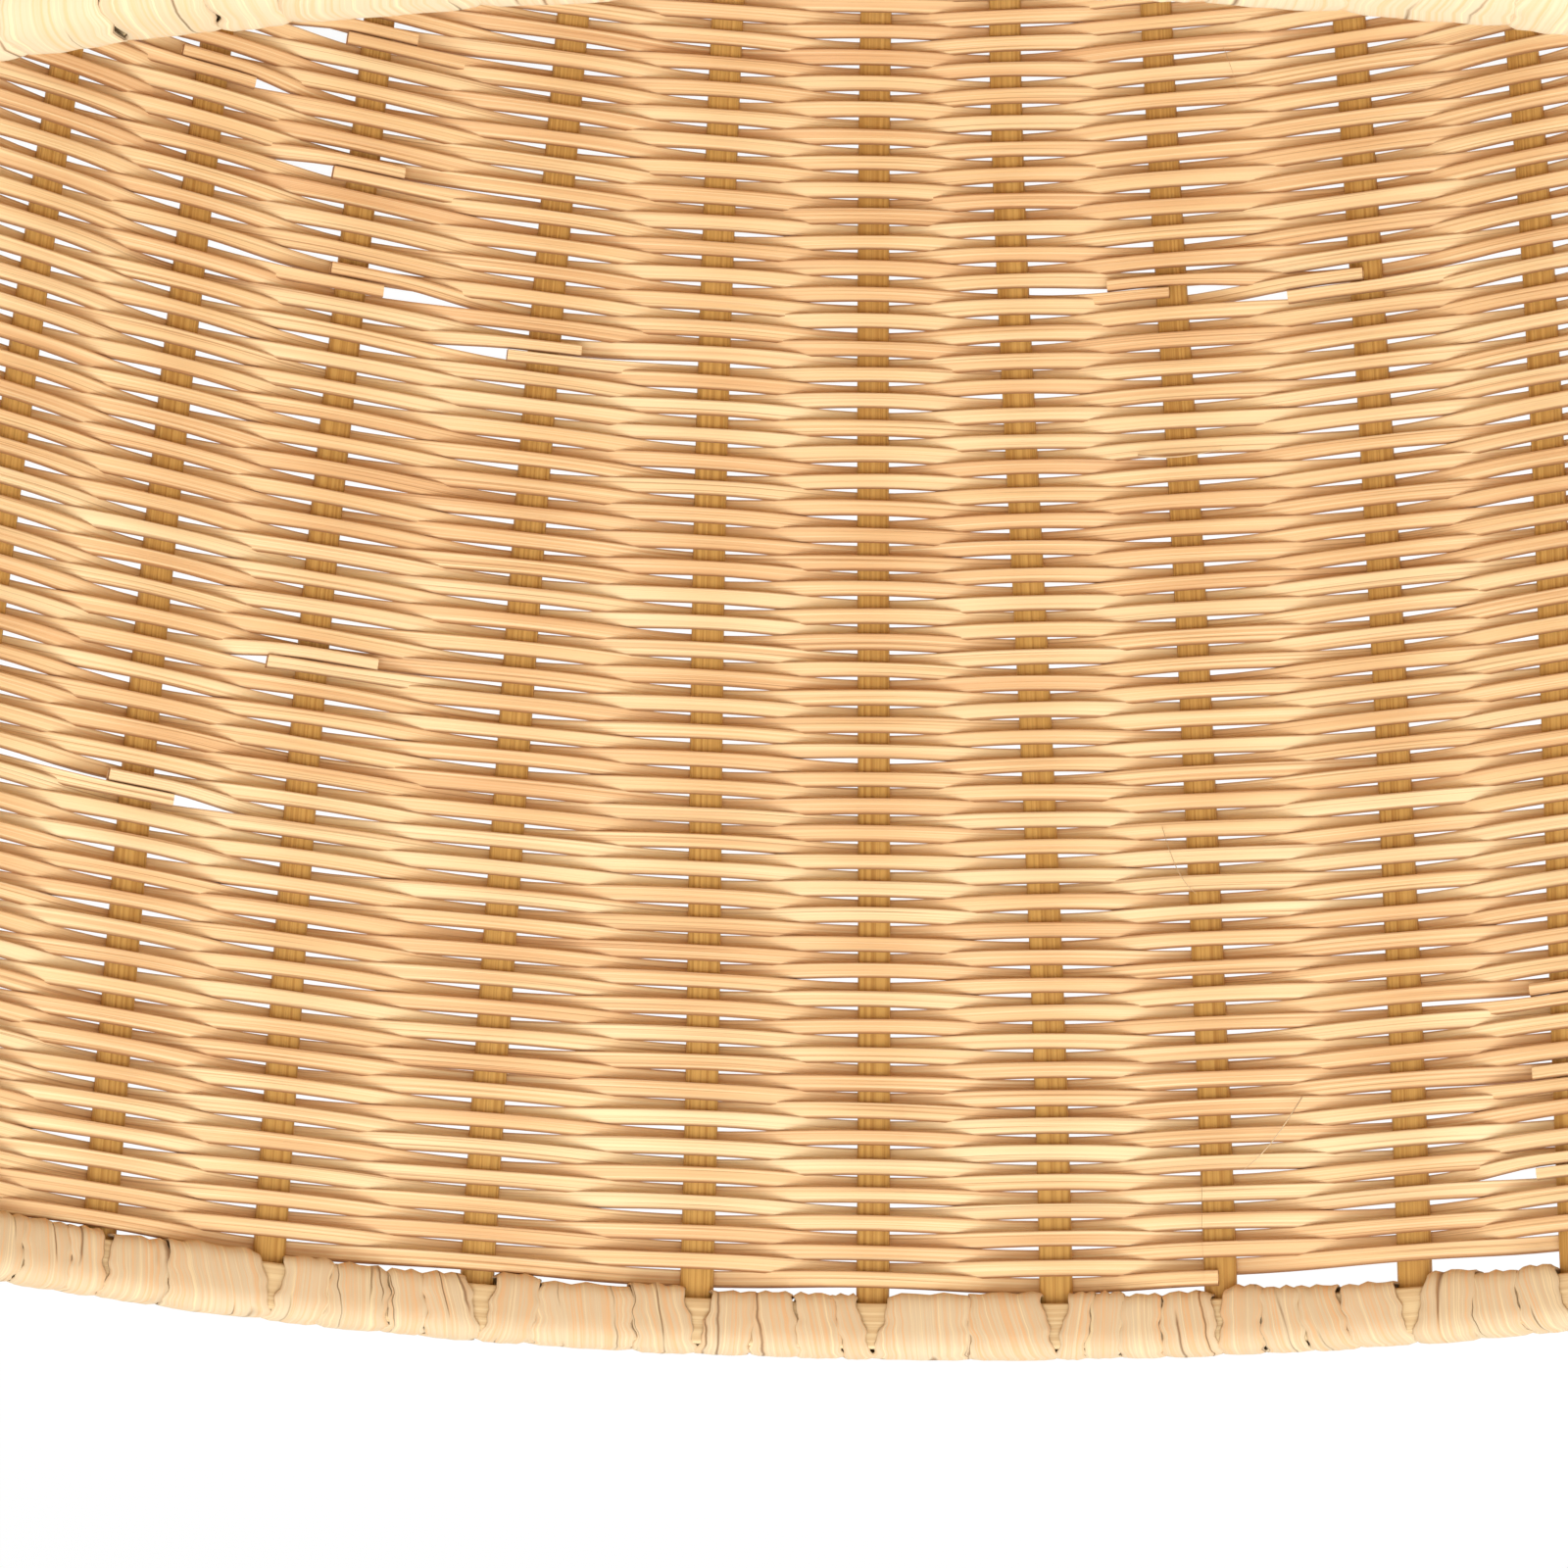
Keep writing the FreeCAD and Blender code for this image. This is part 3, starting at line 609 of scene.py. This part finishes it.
class RimSection:
    """Outline of the bound rim, by share of the way round it from the foot of its outer side."""

    def __init__(self, middle, cane, rim):
        clear = 0.1 * MILLIMETRE
        lean_in = RIM_GAP * math.tan(1.5 * bpy.context.scene.basket_form.lip_lean)
        half_stake = cane.stake_thickness / 2
        self.inner_hoop = middle.lip_r - lean_in - half_stake - clear - rim.hoop_thickness / 2
        self.outer_hoop = middle.lip_r + half_stake + clear + rim.hoop_thickness / 2
        skin = rim.binding_thickness
        low_r = self.inner_hoop - rim.hoop_thickness / 2 - clear - skin / 2
        high_r = self.outer_hoop + rim.hoop_thickness / 2 + clear + skin / 2
        self.hoop_z = middle.lip_z - skin - clear - rim.hoop_height / 2
        half_height = rim.hoop_height / 2 + clear + skin / 2
        self.top = self.hoop_z + half_height
        self.height = 2 * half_height
        around = np.linspace(0, 2 * math.pi, 721) - 0.28 * math.pi
        cos, sin = np.cos(around), np.sin(around)
        power = np.where(sin > 0, 3.2, 5.0)
        reach = (np.abs(cos) ** power + np.abs(sin) ** power) ** (1 / power)
        radius = (low_r + high_r) / 2 + (high_r - low_r) / 2 * cos / reach
        height = self.hoop_z + half_height * sin / reach
        step = np.hypot(np.diff(radius), np.diff(height))
        travelled = np.concatenate([[0], np.cumsum(step)])
        self.girth = travelled[-1]
        self.share = travelled / self.girth
        self.radius = radius
        self.z = height
        corners = np.interp((math.pi / 2, math.pi * 5 / 4), around, self.share)
        self.vee_shares = (0.0, corners[0], corners[1], 1.0)

    def at(self, share):
        """Radius, height and outward normal; the outline is walked over the lip and inwards."""
        here = share % 1.0
        radius = np.interp(here, self.share, self.radius)
        height = np.interp(here, self.share, self.z)
        ahead = (here + 0.004) % 1.0
        behind = (here - 0.004) % 1.0
        dr = np.interp(ahead, self.share, self.radius) - np.interp(behind, self.share, self.radius)
        dz = np.interp(ahead, self.share, self.z) - np.interp(behind, self.share, self.z)
        size = np.hypot(dr, dz)
        return radius, height, dz / size, -dr / size


def binding_piece(number, section):
    """Strips wrapped round the hoops in one bay of each sixth of the basket."""
    scene = bpy.context.scene
    rim = scene.basket_rim
    rng = np.random.default_rng(70 + number)
    turns = stake_turns() + stake_leans() / section.inner_hoop
    ends = np.append(turns, turns[0] + 2 * math.pi)
    strips = []
    vees = rim.vee_width * np.random.default_rng(69).uniform(0.35, 1.0, len(ends))
    vees[-1] = vees[0]
    for bay in range(number - 1, len(turns), len(STAKE_GAPS)):
        cuts = split_bay(rng)
        for low, high in zip(cuts, cuts[1:]):
            strips.append((ends[bay], ends[bay + 1], vees[bay], vees[bay + 1], low, high))
    begin, end, begin_vee, end_vee, low, high = (np.array(values) for values in zip(*strips))
    count = len(strips)
    slant = rng.uniform(-0.06, 0.06, count)
    lift = rng.uniform(0.0, 0.4, count) * MILLIMETRE
    sag = rng.uniform(0.25, 1.15, count) * MILLIMETRE
    phase = rng.uniform(0, 2 * math.pi, (count, 6))
    tones = rng.uniform(0, 1, count)

    def place(strip, part, across, out):
        x, y = oblong(across, out, 4)
        radius, height, normal_r, normal_z = section.at(STRIP_TURN * part)
        down = np.clip((section.top - height) / section.height, 0, 1)
        opening = np.interp(STRIP_TURN * part % 1.0, section.vee_shares, VEE_WIDTHS)
        first = begin[strip] + opening * begin_vee[strip] / 2 / section.outer_hoop
        last = end[strip] - opening * end_vee[strip] / 2 / section.outer_hoop
        ragged = 0.010 * np.sin(31 * part + phase[strip, 1])
        ragged = ragged + 0.006 * np.sin(67 * part + phase[strip, 0])
        half = (high - low)[strip] / 2 * STRIP_OVERLAP + ragged * np.abs(x)
        inside = 4 * low[strip] * (1 - high[strip])
        drift = inside * (slant[strip] * (down - 0.5) + 0.02 * np.sin(6 * part + phase[strip, 4]))
        turn = first + (last - first) * ((low + high)[strip] / 2 + drift + x * half)
        ridges = (np.sin(9 * x + phase[strip, 2]) + np.sin(17 * x + phase[strip, 5])) * 0.04
        swell = (1 - x ** 4) * 0.16 + ridges
        stand = y * rim.binding_thickness / 2 + swell * MILLIMETRE + lift[strip] * 0.5
        fray = 0.22 * np.sin(7 * x + phase[strip, 3]) + 0.10 * np.sin(19 * x + phase[strip, 5])
        radius = radius + normal_r * stand
        hang = (sag[strip] + fray * MILLIMETRE) * smooth(down, 0.6, 1.0)
        height = height + normal_z * stand - hang
        points = on_ring(radius, turn, height)
        girth = 2 * section.outer_hoop * (last - first) * (high - low)[strip]
        return points, part * section.girth, girth

    material = binding_finish(scene.basket_colours)
    name = f"rim_binding_{number}"
    return make_cane(f"{name}_strips", 44, 20, tones, place, material, (name,))


def split_bay(rng):
    """Edges of the two to four strips that fill one bay."""
    count = rng.integers(2, 5)
    widths = rng.uniform(0.6, 1.4, count)
    return np.concatenate([[0], np.cumsum(widths) / widths.sum()])


def hoop_piece(name, radius, section):
    """One of the two splint rings that clamp the stake ends."""
    scene = bpy.context.scene
    rim = scene.basket_rim

    def place(tube, part, across, out):
        x, y = oblong(across, out, 6)
        turn = part * 2 * math.pi
        height = section.hoop_z + x * rim.hoop_height / 2
        reach = radius + y * rim.hoop_thickness / 2
        points = on_ring(reach, turn, height)
        return points, turn * radius, 2 * (rim.hoop_height + rim.hoop_thickness)

    material = hoop_finish(scene.basket_colours)
    tones = np.random.default_rng(HOOP_SEEDS[name]).uniform(0, 1, 1)
    return make_cane(f"{name}_splint", 384, 24, tones, place, material, (name,))


# ---------------------------------------------------------------- foot and fibres

def lashing_piece():
    """Loops of cane that tie the foot hoop to the base, in the notches of the hoop."""
    scene = bpy.context.scene
    rim = scene.basket_rim
    low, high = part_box("foot_lashings")
    middle_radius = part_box("foot_hoop")[1][0] - 2 * MILLIMETRE
    half_width = high[0] - middle_radius - rim.lashing_thickness / 2
    centre_z = (low[2] + high[2]) / 2
    half_height = (high[2] - low[2] - rim.lashing_thickness) / 2
    turns = stake_turns()
    spots = np.concatenate([(turns[2::8] + turns[3::8]) / 2, (turns[6::8] + turns[7::8]) / 2])
    rng = np.random.default_rng(5)

    def place(loop, part, across, out):
        x, y = oblong(across, out, 4)
        around = 2 * math.pi * part
        cos, sin = np.cos(around), np.sin(around)
        reach = (np.abs(cos) ** 6 + np.abs(sin) ** 6) ** (1 / 6)
        stand = y * rim.lashing_thickness / 2
        radius = middle_radius + (half_width + stand) * cos / reach
        height = centre_z + (half_height + stand) * sin / reach
        sideways = -x * rim.lashing_width / 2
        turn = spots[loop] + sideways / middle_radius
        points = on_ring(radius, turn, height)
        return points, part * 4 * (half_width + half_height), 2 * rim.lashing_width

    material = binding_finish(scene.basket_colours)
    return make_cane("foot_lashing_loops", 48, 12, rng.uniform(0, 1, len(spots)), place,
                     material, ("foot_lashings",))


def fibre_piece():
    """Hairs of cane that have split off and stand a little away from the weave."""
    scene = bpy.context.scene
    middle = Middle(scene.basket_form)
    rng = np.random.default_rng(11)
    count = SPREAD_HAIRS
    turns = np.append(stake_turns(), stake_turns()[0] + 2 * math.pi)
    shown = np.array(SHOWN_HAIRS)
    begin = np.append(shown[:, 0] + len(STAKE_GAPS), rng.uniform(18, 54, count))
    depth = np.append(shown[:, 1], rng.uniform(10, 200, count)) * MILLIMETRE
    end = begin + np.append(shown[:, 2] - shown[:, 0], rng.uniform(0.1, 0.9, count))
    end_depth = np.append(shown[:, 3], rng.uniform(10, 200, count)) * MILLIMETRE
    end_depth[len(shown):] = depth[len(shown):] + rng.normal(0, 5, count) * MILLIMETRE
    count += len(shown)
    arch = rng.uniform(0.4, 1.6, count) * MILLIMETRE
    curl = rng.uniform(-1, 1, count) * 2 * MILLIMETRE
    thick = rng.uniform(0.10, 0.18, count) * MILLIMETRE

    def place(hair, part, across, out):
        radius = thick[hair] * (1 - 0.8 * part ** 2)
        turn, rounds = turn_among(turns, begin[hair] + (end - begin)[hair] * part)
        level = middle.lip_end - depth[hair] - (end_depth - depth)[hair] * part
        level = level + curl[hair] * np.sin(math.pi * part)
        stand = -HAIR_STAND - arch[hair] * np.sin(math.pi * part)
        lean_out = np.stack((level + across * radius, stand + out * radius), axis=0)
        points = middle.place(*lean_out, turn + rounds * 2 * math.pi)
        return points, part * 0.02, 6 * radius

    material = binding_finish(scene.basket_colours)
    return make_cane("loose_fibres", 14, 4, rng.uniform(0, 1, count), place, material)


# ---------------------------------------------------------------- finishes

class Value:
    """A number that a shader works out; Python's operators add the nodes."""

    def __init__(self, finish, socket):
        self.finish = finish
        self.socket = socket

    def __add__(self, other):
        return self.finish.maths("ADD", self, other)

    def __radd__(self, other):
        return self.finish.maths("ADD", other, self)

    def __sub__(self, other):
        return self.finish.maths("SUBTRACT", self, other)

    def __rsub__(self, other):
        return self.finish.maths("SUBTRACT", other, self)

    def __mul__(self, other):
        return self.finish.maths("MULTIPLY", self, other)

    def __rmul__(self, other):
        return self.finish.maths("MULTIPLY", other, self)


class Finish:
    """A material, or the world, whose nodes are added one by one."""

    def __init__(self, owner):
        self.owner = owner
        owner.use_nodes = True
        self.tree = owner.node_tree
        self.tree.nodes.clear()

    def node(self, kind, settings=None, inputs=None, output=0):
        made = self.tree.nodes.new(kind)
        for key, value in (settings or {}).items():
            if key == "stops":
                set_stops(made.color_ramp, value)
            else:
                setattr(made, key, value)
        for key, value in (inputs or {}).items():
            if isinstance(value, Value):
                self.tree.links.new(value.socket, made.inputs[key])
            else:
                made.inputs[key].default_value = value
        return Value(self, made.outputs[output]) if made.outputs else made

    def maths(self, operation, *terms):
        return self.node("ShaderNodeMath", {"operation": operation}, dict(enumerate(terms)))

    def mix(self, share, first, second):
        """Colour from first to second."""
        first, second = (c if isinstance(c, Value) else (*c, 1.0) for c in (first, second))
        return self.node("ShaderNodeMix", {"data_type": "RGBA"},
                         {"Factor": share, "A": first, "B": second}, "Result")

    def ramp(self, value, stops):
        """0 to 1 value turned into another by a list of (place, level)."""
        greys = [(place, (level, level, level)) for place, level in stops]
        return self.node("ShaderNodeValToRGB", {"stops": greys}, {"Fac": value})

    def cane_place(self):
        """Metres along the cane and round it."""
        return self.node("ShaderNodeUVMap", {"uv_map": CANE_MAP})

    def attribute(self, name):
        return self.node("ShaderNodeAttribute", {"attribute_name": name}, output="Fac")

    def noise(self, where, scale, detail=3.0, roughness=0.6):
        stretched = self.node("ShaderNodeMapping", None, {"Vector": where, "Scale": scale})
        return self.node("ShaderNodeTexNoise", None, {
            "Vector": stretched, "Scale": 1.0, "Detail": detail, "Roughness": roughness})

    def surface(self, colour_value, roughness, height, depth, specular=0.35):
        bump = self.node("ShaderNodeBump", None, {
            "Height": height, "Strength": 1.0, "Distance": depth})
        shader = self.node("ShaderNodeBsdfPrincipled", None, {
            "Base Color": colour_value, "Roughness": roughness, "Normal": bump,
            "Specular IOR Level": specular})
        self.node("ShaderNodeOutputMaterial", None, {"Surface": shader})
        return self.owner


def set_stops(ramp, stops):
    while len(ramp.elements) < len(stops):
        ramp.elements.new(0.5)
    for element, (place, rgb) in zip(ramp.elements, stops):
        element.position = place
        element.color = (*rgb, 1.0)


def shared(name):
    """The finish is painted once under this name, and then found by it."""
    def wrap(paint_it):
        def find(colours):
            made = bpy.data.materials.get(name)
            return made or paint_it(Finish(bpy.data.materials.new(name)), colours)
        return find
    return wrap


@shared("woven_cane")
def weaver_finish(paint, colours):
    """Flat cane: pale face with fine lengthwise fibres, brown along its edges that is partly its
    cut sides and mostly painted shade where it meets the next row, no two lengths alike.
    """
    where = paint.cane_place()
    tone = paint.attribute(TONE)
    flank = paint.attribute(FLANK)
    fibres = paint.noise(where, (14, 3600, 1), 2.0)
    streaks = paint.noise(where, (7, 1500, 1), 3.0)
    patches = paint.noise(where, (11, 150, 1), 2.0)
    shade = tone * 0.45 + patches * 0.95 - 0.2
    base = paint.node("ShaderNodeValToRGB", {"stops": [
        (0.0, colours.weaver_light), (0.5, colours.weaver_mid), (1.0, colours.weaver_dark)]},
        {"Fac": shade})
    pale = paint.ramp(fibres, [(0.5, 0.0), (0.66, 1.0)])
    base = paint.mix(pale * 0.7, base, colours.weaver_light)
    lines = paint.ramp(streaks, [(0.36, 1.0), (0.5, 0.0)])
    base = paint.mix(lines * 0.6, base, colours.weaver_dark)
    threads = paint.ramp(fibres, [(0.32, 1.0), (0.42, 0.0)])
    base = paint.mix(threads * 0.5, base, colours.weaver_fibre_and_edge_shade)
    # Painted shade: the brown along each strip's edges, which reaches a little onto its face,
    # stands in for the contact shadow where one row meets the next. Only a little of it is the
    # cane's own darker cut side.
    sides = paint.ramp(flank, [(0.37, 0.0), (0.48, 0.75), (0.7, 1.0)])
    base = paint.mix(sides * 0.85, base, colours.weaver_fibre_and_edge_shade)
    height = fibres * 0.5 + streaks
    return paint.surface(base, 0.5 + fibres * 0.2, height, 0.14 * MILLIMETRE)


@shared("stake_splint")
def stake_finish(paint, colours):
    """Honey-brown splint with fine grooves along it."""
    where = paint.cane_place()
    tone = paint.attribute(TONE)
    grooves = paint.noise(where, (10, 2600, 1), 2.0)
    broad = paint.noise(where, (6, 500, 1), 2.0)
    dark = paint.ramp(grooves, [(0.35, 1.0), (0.6, 0.0)])
    share = dark * 0.55 + broad * 0.35 + tone * 0.2 - 0.12
    base = paint.mix(share, colours.stake_light, colours.stake_dark)
    return paint.surface(base, 0.5 + grooves * 0.15, grooves, 0.15 * MILLIMETRE)


@shared("hoop_splint")
def hoop_finish(paint, colours):
    """Pale splint bent to a ring, with the grain round it."""
    where = paint.cane_place()
    grain = paint.noise(where, (14, 2200, 1), 3.0)
    broad = paint.noise(where, (8, 300, 1), 2.0)
    share = paint.ramp(grain, [(0.4, 1.0), (0.62, 0.0)]) * 0.6 + broad * 0.3
    base = paint.mix(share, colours.hoop_light, colours.hoop_dark)
    return paint.surface(base, 0.55 + grain * 0.15, grain, 0.12 * MILLIMETRE)


@shared("foot_splint")
def foot_finish(paint, colours):
    """The same splint for the foot hoop, with the grain found from its place in the ring."""
    place = paint.node("ShaderNodeTexCoord", output="Object")
    x, y, z = (paint.node("ShaderNodeSeparateXYZ", None, {"Vector": place}, axis)
               for axis in "XYZ")
    turn = paint.maths("ARCTAN2", y, x)
    radius = paint.maths("SQRT", x * x + y * y)
    where = paint.node("ShaderNodeCombineXYZ", None, {"X": turn, "Y": radius, "Z": z})
    grain = paint.noise(where, (3, 1500, 1500), 3.0)
    share = paint.ramp(grain, [(0.4, 1.0), (0.62, 0.0)])
    base = paint.mix(share * 0.7, colours.hoop_light, colours.hoop_dark)
    return paint.surface(base, 0.55 + grain * 0.15, grain, 0.12 * MILLIMETRE)


@shared("rim_strip")
def binding_finish(paint, colours):
    """Pale fibrous strip, with fine splits that run along its fibres."""
    where = paint.cane_place()
    tone = paint.attribute(TONE)
    fibres = paint.noise(where, (30, 3600, 1), 3.0)
    strands = paint.noise(where, (26, 700, 1), 2.0, 0.5)
    patches = paint.noise(where, (60, 180, 1), 2.0)
    seams = paint.noise(where, (18, 260, 1), 1.0, 0.4)
    cracks = paint.ramp(seams, [(0.488, 0.0), (0.5, 1.0), (0.512, 0.0)])
    breaks = paint.ramp(paint.noise(where, (110, 120, 1), 1.0), [(0.44, 0.0), (0.56, 1.0)])
    cracks = cracks * breaks
    lines = paint.ramp(fibres, [(0.36, 1.0), (0.52, 0.0)])
    pale = paint.ramp(strands, [(0.5, 0.0), (0.68, 1.0)])
    threads = paint.ramp(fibres, [(0.56, 0.0), (0.66, 1.0)])
    flank = paint.attribute(FLANK)
    edges = paint.ramp(flank, [(0.9, 0.0), (1.0, 1.0)])
    base = paint.mix(tone * 0.4 + patches * 0.4, colours.binding_light, colours.binding_mid)
    base = paint.mix(pale * 0.5, base, colours.binding_light)
    base = paint.mix(lines * 0.8, base, colours.weaver_dark)
    base = paint.mix(threads * 0.7, base, colours.hoop_light)
    base = paint.mix(cracks * 0.85, base, colours.binding_dark)
    base = paint.mix(edges * 0.5, base, colours.binding_dark)
    height = fibres * 0.35 + strands * 0.8 - cracks * 0.6
    return paint.surface(base, 0.6 + fibres * 0.15, height, 0.2 * MILLIMETRE, 0.25)


@shared("floor")
def floor_finish(paint, colours):
    """Pale floor that the camera sees nearly white, with the basket's shadow kept."""
    path = paint.node("ShaderNodeLightPath", output="Is Camera Ray")
    matt = paint.node("ShaderNodeBsdfDiffuse", None, {"Color": (*colours.floor, 1.0)})
    white = paint.node("ShaderNodeEmission", None, {"Color": WHITE, "Strength": 1.0})
    shown = paint.node("ShaderNodeMixShader", None, {0: path * FLOOR_GLOW, 1: matt, 2: white})
    paint.node("ShaderNodeOutputMaterial", None, {"Surface": shown})
    return paint.owner


# ---------------------------------------------------------------- operators

class BasketStep(Operator):
    bl_options = {"REGISTER", "UNDO"}


class BASKET_OT_base_sticks(BasketStep):
    """Six sticks that cross at the centre of the base and end at the rim"""
    bl_idname = "basket.base_sticks"
    bl_label = "Base sticks"

    def execute(self, context):
        spacing = context.scene.basket_cane.stick_spacing
        turn = sum(STAKE_GAPS[:4])
        sixth = 360 / SECTORS
        over = turn + sixth - 90
        lying = ((-1, turn - sixth, 180 + turn), (0, 0, 180), (1, turn, 180 + turn - sixth))
        through = ((-1, sixth - 90, 210), (0, over, 180 + over), (1, 2 * sixth - 90, 150))
        sticks = [(0, True, *stick) for stick in lying]
        sticks += [(90, False, *stick) for stick in through]
        for number, (direction, slit, place, right, left) in enumerate(sticks, start=1):
            base_stick_piece(f"base_stick_{number}", direction, place * spacing, right, left,
                             slit, number)
        return {"FINISHED"}


class BASKET_OT_side_stakes(BasketStep):
    """Stakes laid in between the base sticks as the base widens"""
    bl_idname = "basket.side_stakes"
    bl_label = "Side stakes"

    def execute(self, context):
        form = context.scene.basket_form
        kinds = (("first", form.first_start, (2, 6)), ("second", form.second_start, (1, 3, 5, 7)))
        for kind, start, places in kinds:
            for number, place in enumerate(places, start=1):
                chosen = slice(place, None, len(STAKE_GAPS))
                side_stake_piece(f"{kind}_side_stakes_{number}", chosen, start,
                                 STAKE_SEEDS[kind] + number)
        return {"FINISHED"}


class BASKET_OT_base_weave(BasketStep):
    """Rows of cane in the flat base"""
    bl_idname = "basket.base_weave"
    bl_label = "Base weave"

    def execute(self, context):
        weave_pieces("base_weave", 6)
        return {"FINISHED"}


class BASKET_OT_heel_weave(BasketStep):
    """Rows of cane round the bend from base to wall"""
    bl_idname = "basket.heel_weave"
    bl_label = "Heel weave"

    def execute(self, context):
        weave_pieces("heel_weave", 8)
        return {"FINISHED"}


class BASKET_OT_wall_weave(BasketStep):
    """Rows of cane in the wall"""
    bl_idname = "basket.wall_weave"
    bl_label = "Wall weave"

    def execute(self, context):
        weave_pieces("wall_weave", 8)
        return {"FINISHED"}


class BASKET_OT_rim(BasketStep):
    """Hoops that clamp the stake ends, and the binding wrapped round them"""
    bl_idname = "basket.rim"
    bl_label = "Rim"

    def execute(self, context):
        scene = context.scene
        section = RimSection(Middle(scene.basket_form), scene.basket_cane, scene.basket_rim)
        hoop_piece("rim_inner_hoop", section.inner_hoop, section)
        hoop_piece("rim_outer_hoop", section.outer_hoop, section)
        for number in range(1, len(STAKE_GAPS) + 1):
            binding_piece(number, section)
        return {"FINISHED"}


class BASKET_OT_foot(BasketStep):
    """Finish of the foot hoop, and the lashings that tie it to the base"""
    bl_idname = "basket.foot"
    bl_label = "Foot"

    def execute(self, context):
        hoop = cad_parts["foot_hoop"]
        hoop.data.materials.clear()
        hoop.data.materials.append(foot_finish(context.scene.basket_colours))
        lashing_piece()
        return {"FINISHED"}


class BASKET_OT_loose_fibres(BasketStep):
    """Hairs that have split off the cane"""
    bl_idname = "basket.loose_fibres"
    bl_label = "Loose fibres"

    def execute(self, context):
        fibre_piece()
        return {"FINISHED"}


class BASKET_OT_stage(BasketStep):
    """Floor, lamps, background and camera"""
    bl_idname = "basket.stage"
    bl_label = "Stage"

    def execute(self, context):
        add_floor(context)
        add_lamps(context)
        add_camera(context)
        context.scene.view_settings.view_transform = "Standard"
        return {"FINISHED"}


def add_floor(context):
    bm = bmesh.new()
    bmesh.ops.create_circle(bm, cap_ends=True, segments=96, radius=FLOOR_RADIUS)
    mesh = bpy.data.meshes.new("floor")
    bm.to_mesh(mesh)
    bm.free()
    floor = bpy.data.objects.new("floor", mesh)
    mesh.materials.append(floor_finish(context.scene.basket_colours))
    floor.location.z = CAD_LOW[2] - FLOOR_PLAY
    context.collection.objects.link(floor)


def add_lamp(context, name, place, size, watts):
    lamp = bpy.data.lights.new(name, "AREA")
    lamp.size = size
    lamp.energy = watts
    holder = bpy.data.objects.new(name, lamp)
    holder.location = place
    holder.rotation_mode = "QUATERNION"
    holder.rotation_quaternion = (Vector(LAMP_TARGET) - Vector(place)).to_track_quat("-Z", "Y")
    context.collection.objects.link(holder)


def add_lamps(context):
    for name, place, size, watts in LAMPS:
        add_lamp(context, name, place, size, watts)
    world = bpy.data.worlds.new("studio")
    sky = Finish(world)
    path = sky.node("ShaderNodeLightPath", output="Is Camera Ray")
    soft = sky.node("ShaderNodeBackground", None, {"Color": WHITE, "Strength": WORLD_LIGHT})
    seen = sky.node("ShaderNodeBackground", None, {"Color": WHITE, "Strength": 1.0})
    both = sky.node("ShaderNodeMixShader", None, {0: path, 1: soft, 2: seen})
    sky.node("ShaderNodeOutputWorld", None, {"Surface": both})
    context.scene.world = world


def add_camera(context):
    """Looks down past the near rim at the inside of the far wall, and hangs upside down."""
    middle = Middle(context.scene.basket_form)
    azimuth, yaw, pitch, roll = (math.radians(turn) for turn in CAMERA_TURNS)
    heading = azimuth + yaw
    forward = Vector((math.cos(heading) * math.cos(pitch), math.sin(heading) * math.cos(pitch),
                      -math.sin(pitch)))
    right = Vector((math.sin(heading), -math.cos(heading), 0))
    up = right.cross(forward)
    across = right * math.cos(roll) + up * math.sin(roll)
    upward = up * math.cos(roll) - right * math.sin(roll)
    turned = Matrix((across, upward, -forward)).transposed()
    camera = bpy.data.objects.new("camera", bpy.data.cameras.new("camera"))
    camera.data.lens = CAMERA_LENS
    camera.data.sensor_width = CAMERA_SENSOR
    camera.data.clip_start = 10 * MILLIMETRE
    camera.location = (-CAMERA_REACH * math.cos(azimuth), -CAMERA_REACH * math.sin(azimuth),
                       middle.lip_z + CAMERA_RISE)
    camera.rotation_mode = "QUATERNION"
    camera.rotation_quaternion = turned.to_quaternion()
    context.collection.objects.link(camera)
    context.scene.camera = camera


class BASKET_PT_steps(Panel):
    """Steps that make the basket"""
    bl_idname = "BASKET_PT_steps"
    bl_label = "Wicker basket"
    bl_space_type = "VIEW_3D"
    bl_region_type = "UI"
    bl_category = "Basket"

    def draw(self, context):
        for step in STEPS:
            self.layout.operator(step.bl_idname)


GROUPS = {
    "basket_form": BasketForm,
    "basket_cane": BasketCane,
    "basket_rim": BasketRim,
    "basket_colours": BasketColours,
}
STEPS = (
    BASKET_OT_base_sticks,
    BASKET_OT_side_stakes,
    BASKET_OT_base_weave,
    BASKET_OT_heel_weave,
    BASKET_OT_wall_weave,
    BASKET_OT_rim,
    BASKET_OT_foot,
    BASKET_OT_loose_fibres,
    BASKET_OT_stage,
)


def register():
    for name, group in GROUPS.items():
        bpy.utils.register_class(group)
        setattr(bpy.types.Scene, name, PointerProperty(type=group))
    for step in STEPS:
        bpy.utils.register_class(step)
    bpy.utils.register_class(BASKET_PT_steps)


def unregister():
    bpy.utils.unregister_class(BASKET_PT_steps)
    for step in reversed(STEPS):
        bpy.utils.unregister_class(step)
    for name, group in GROUPS.items():
        delattr(bpy.types.Scene, name)
        bpy.utils.unregister_class(group)


def main():
    register()
    for step in STEPS:
        group, name = step.bl_idname.split(".")
        getattr(getattr(bpy.ops, group), name)()


if __name__ == "__main__":
    main()
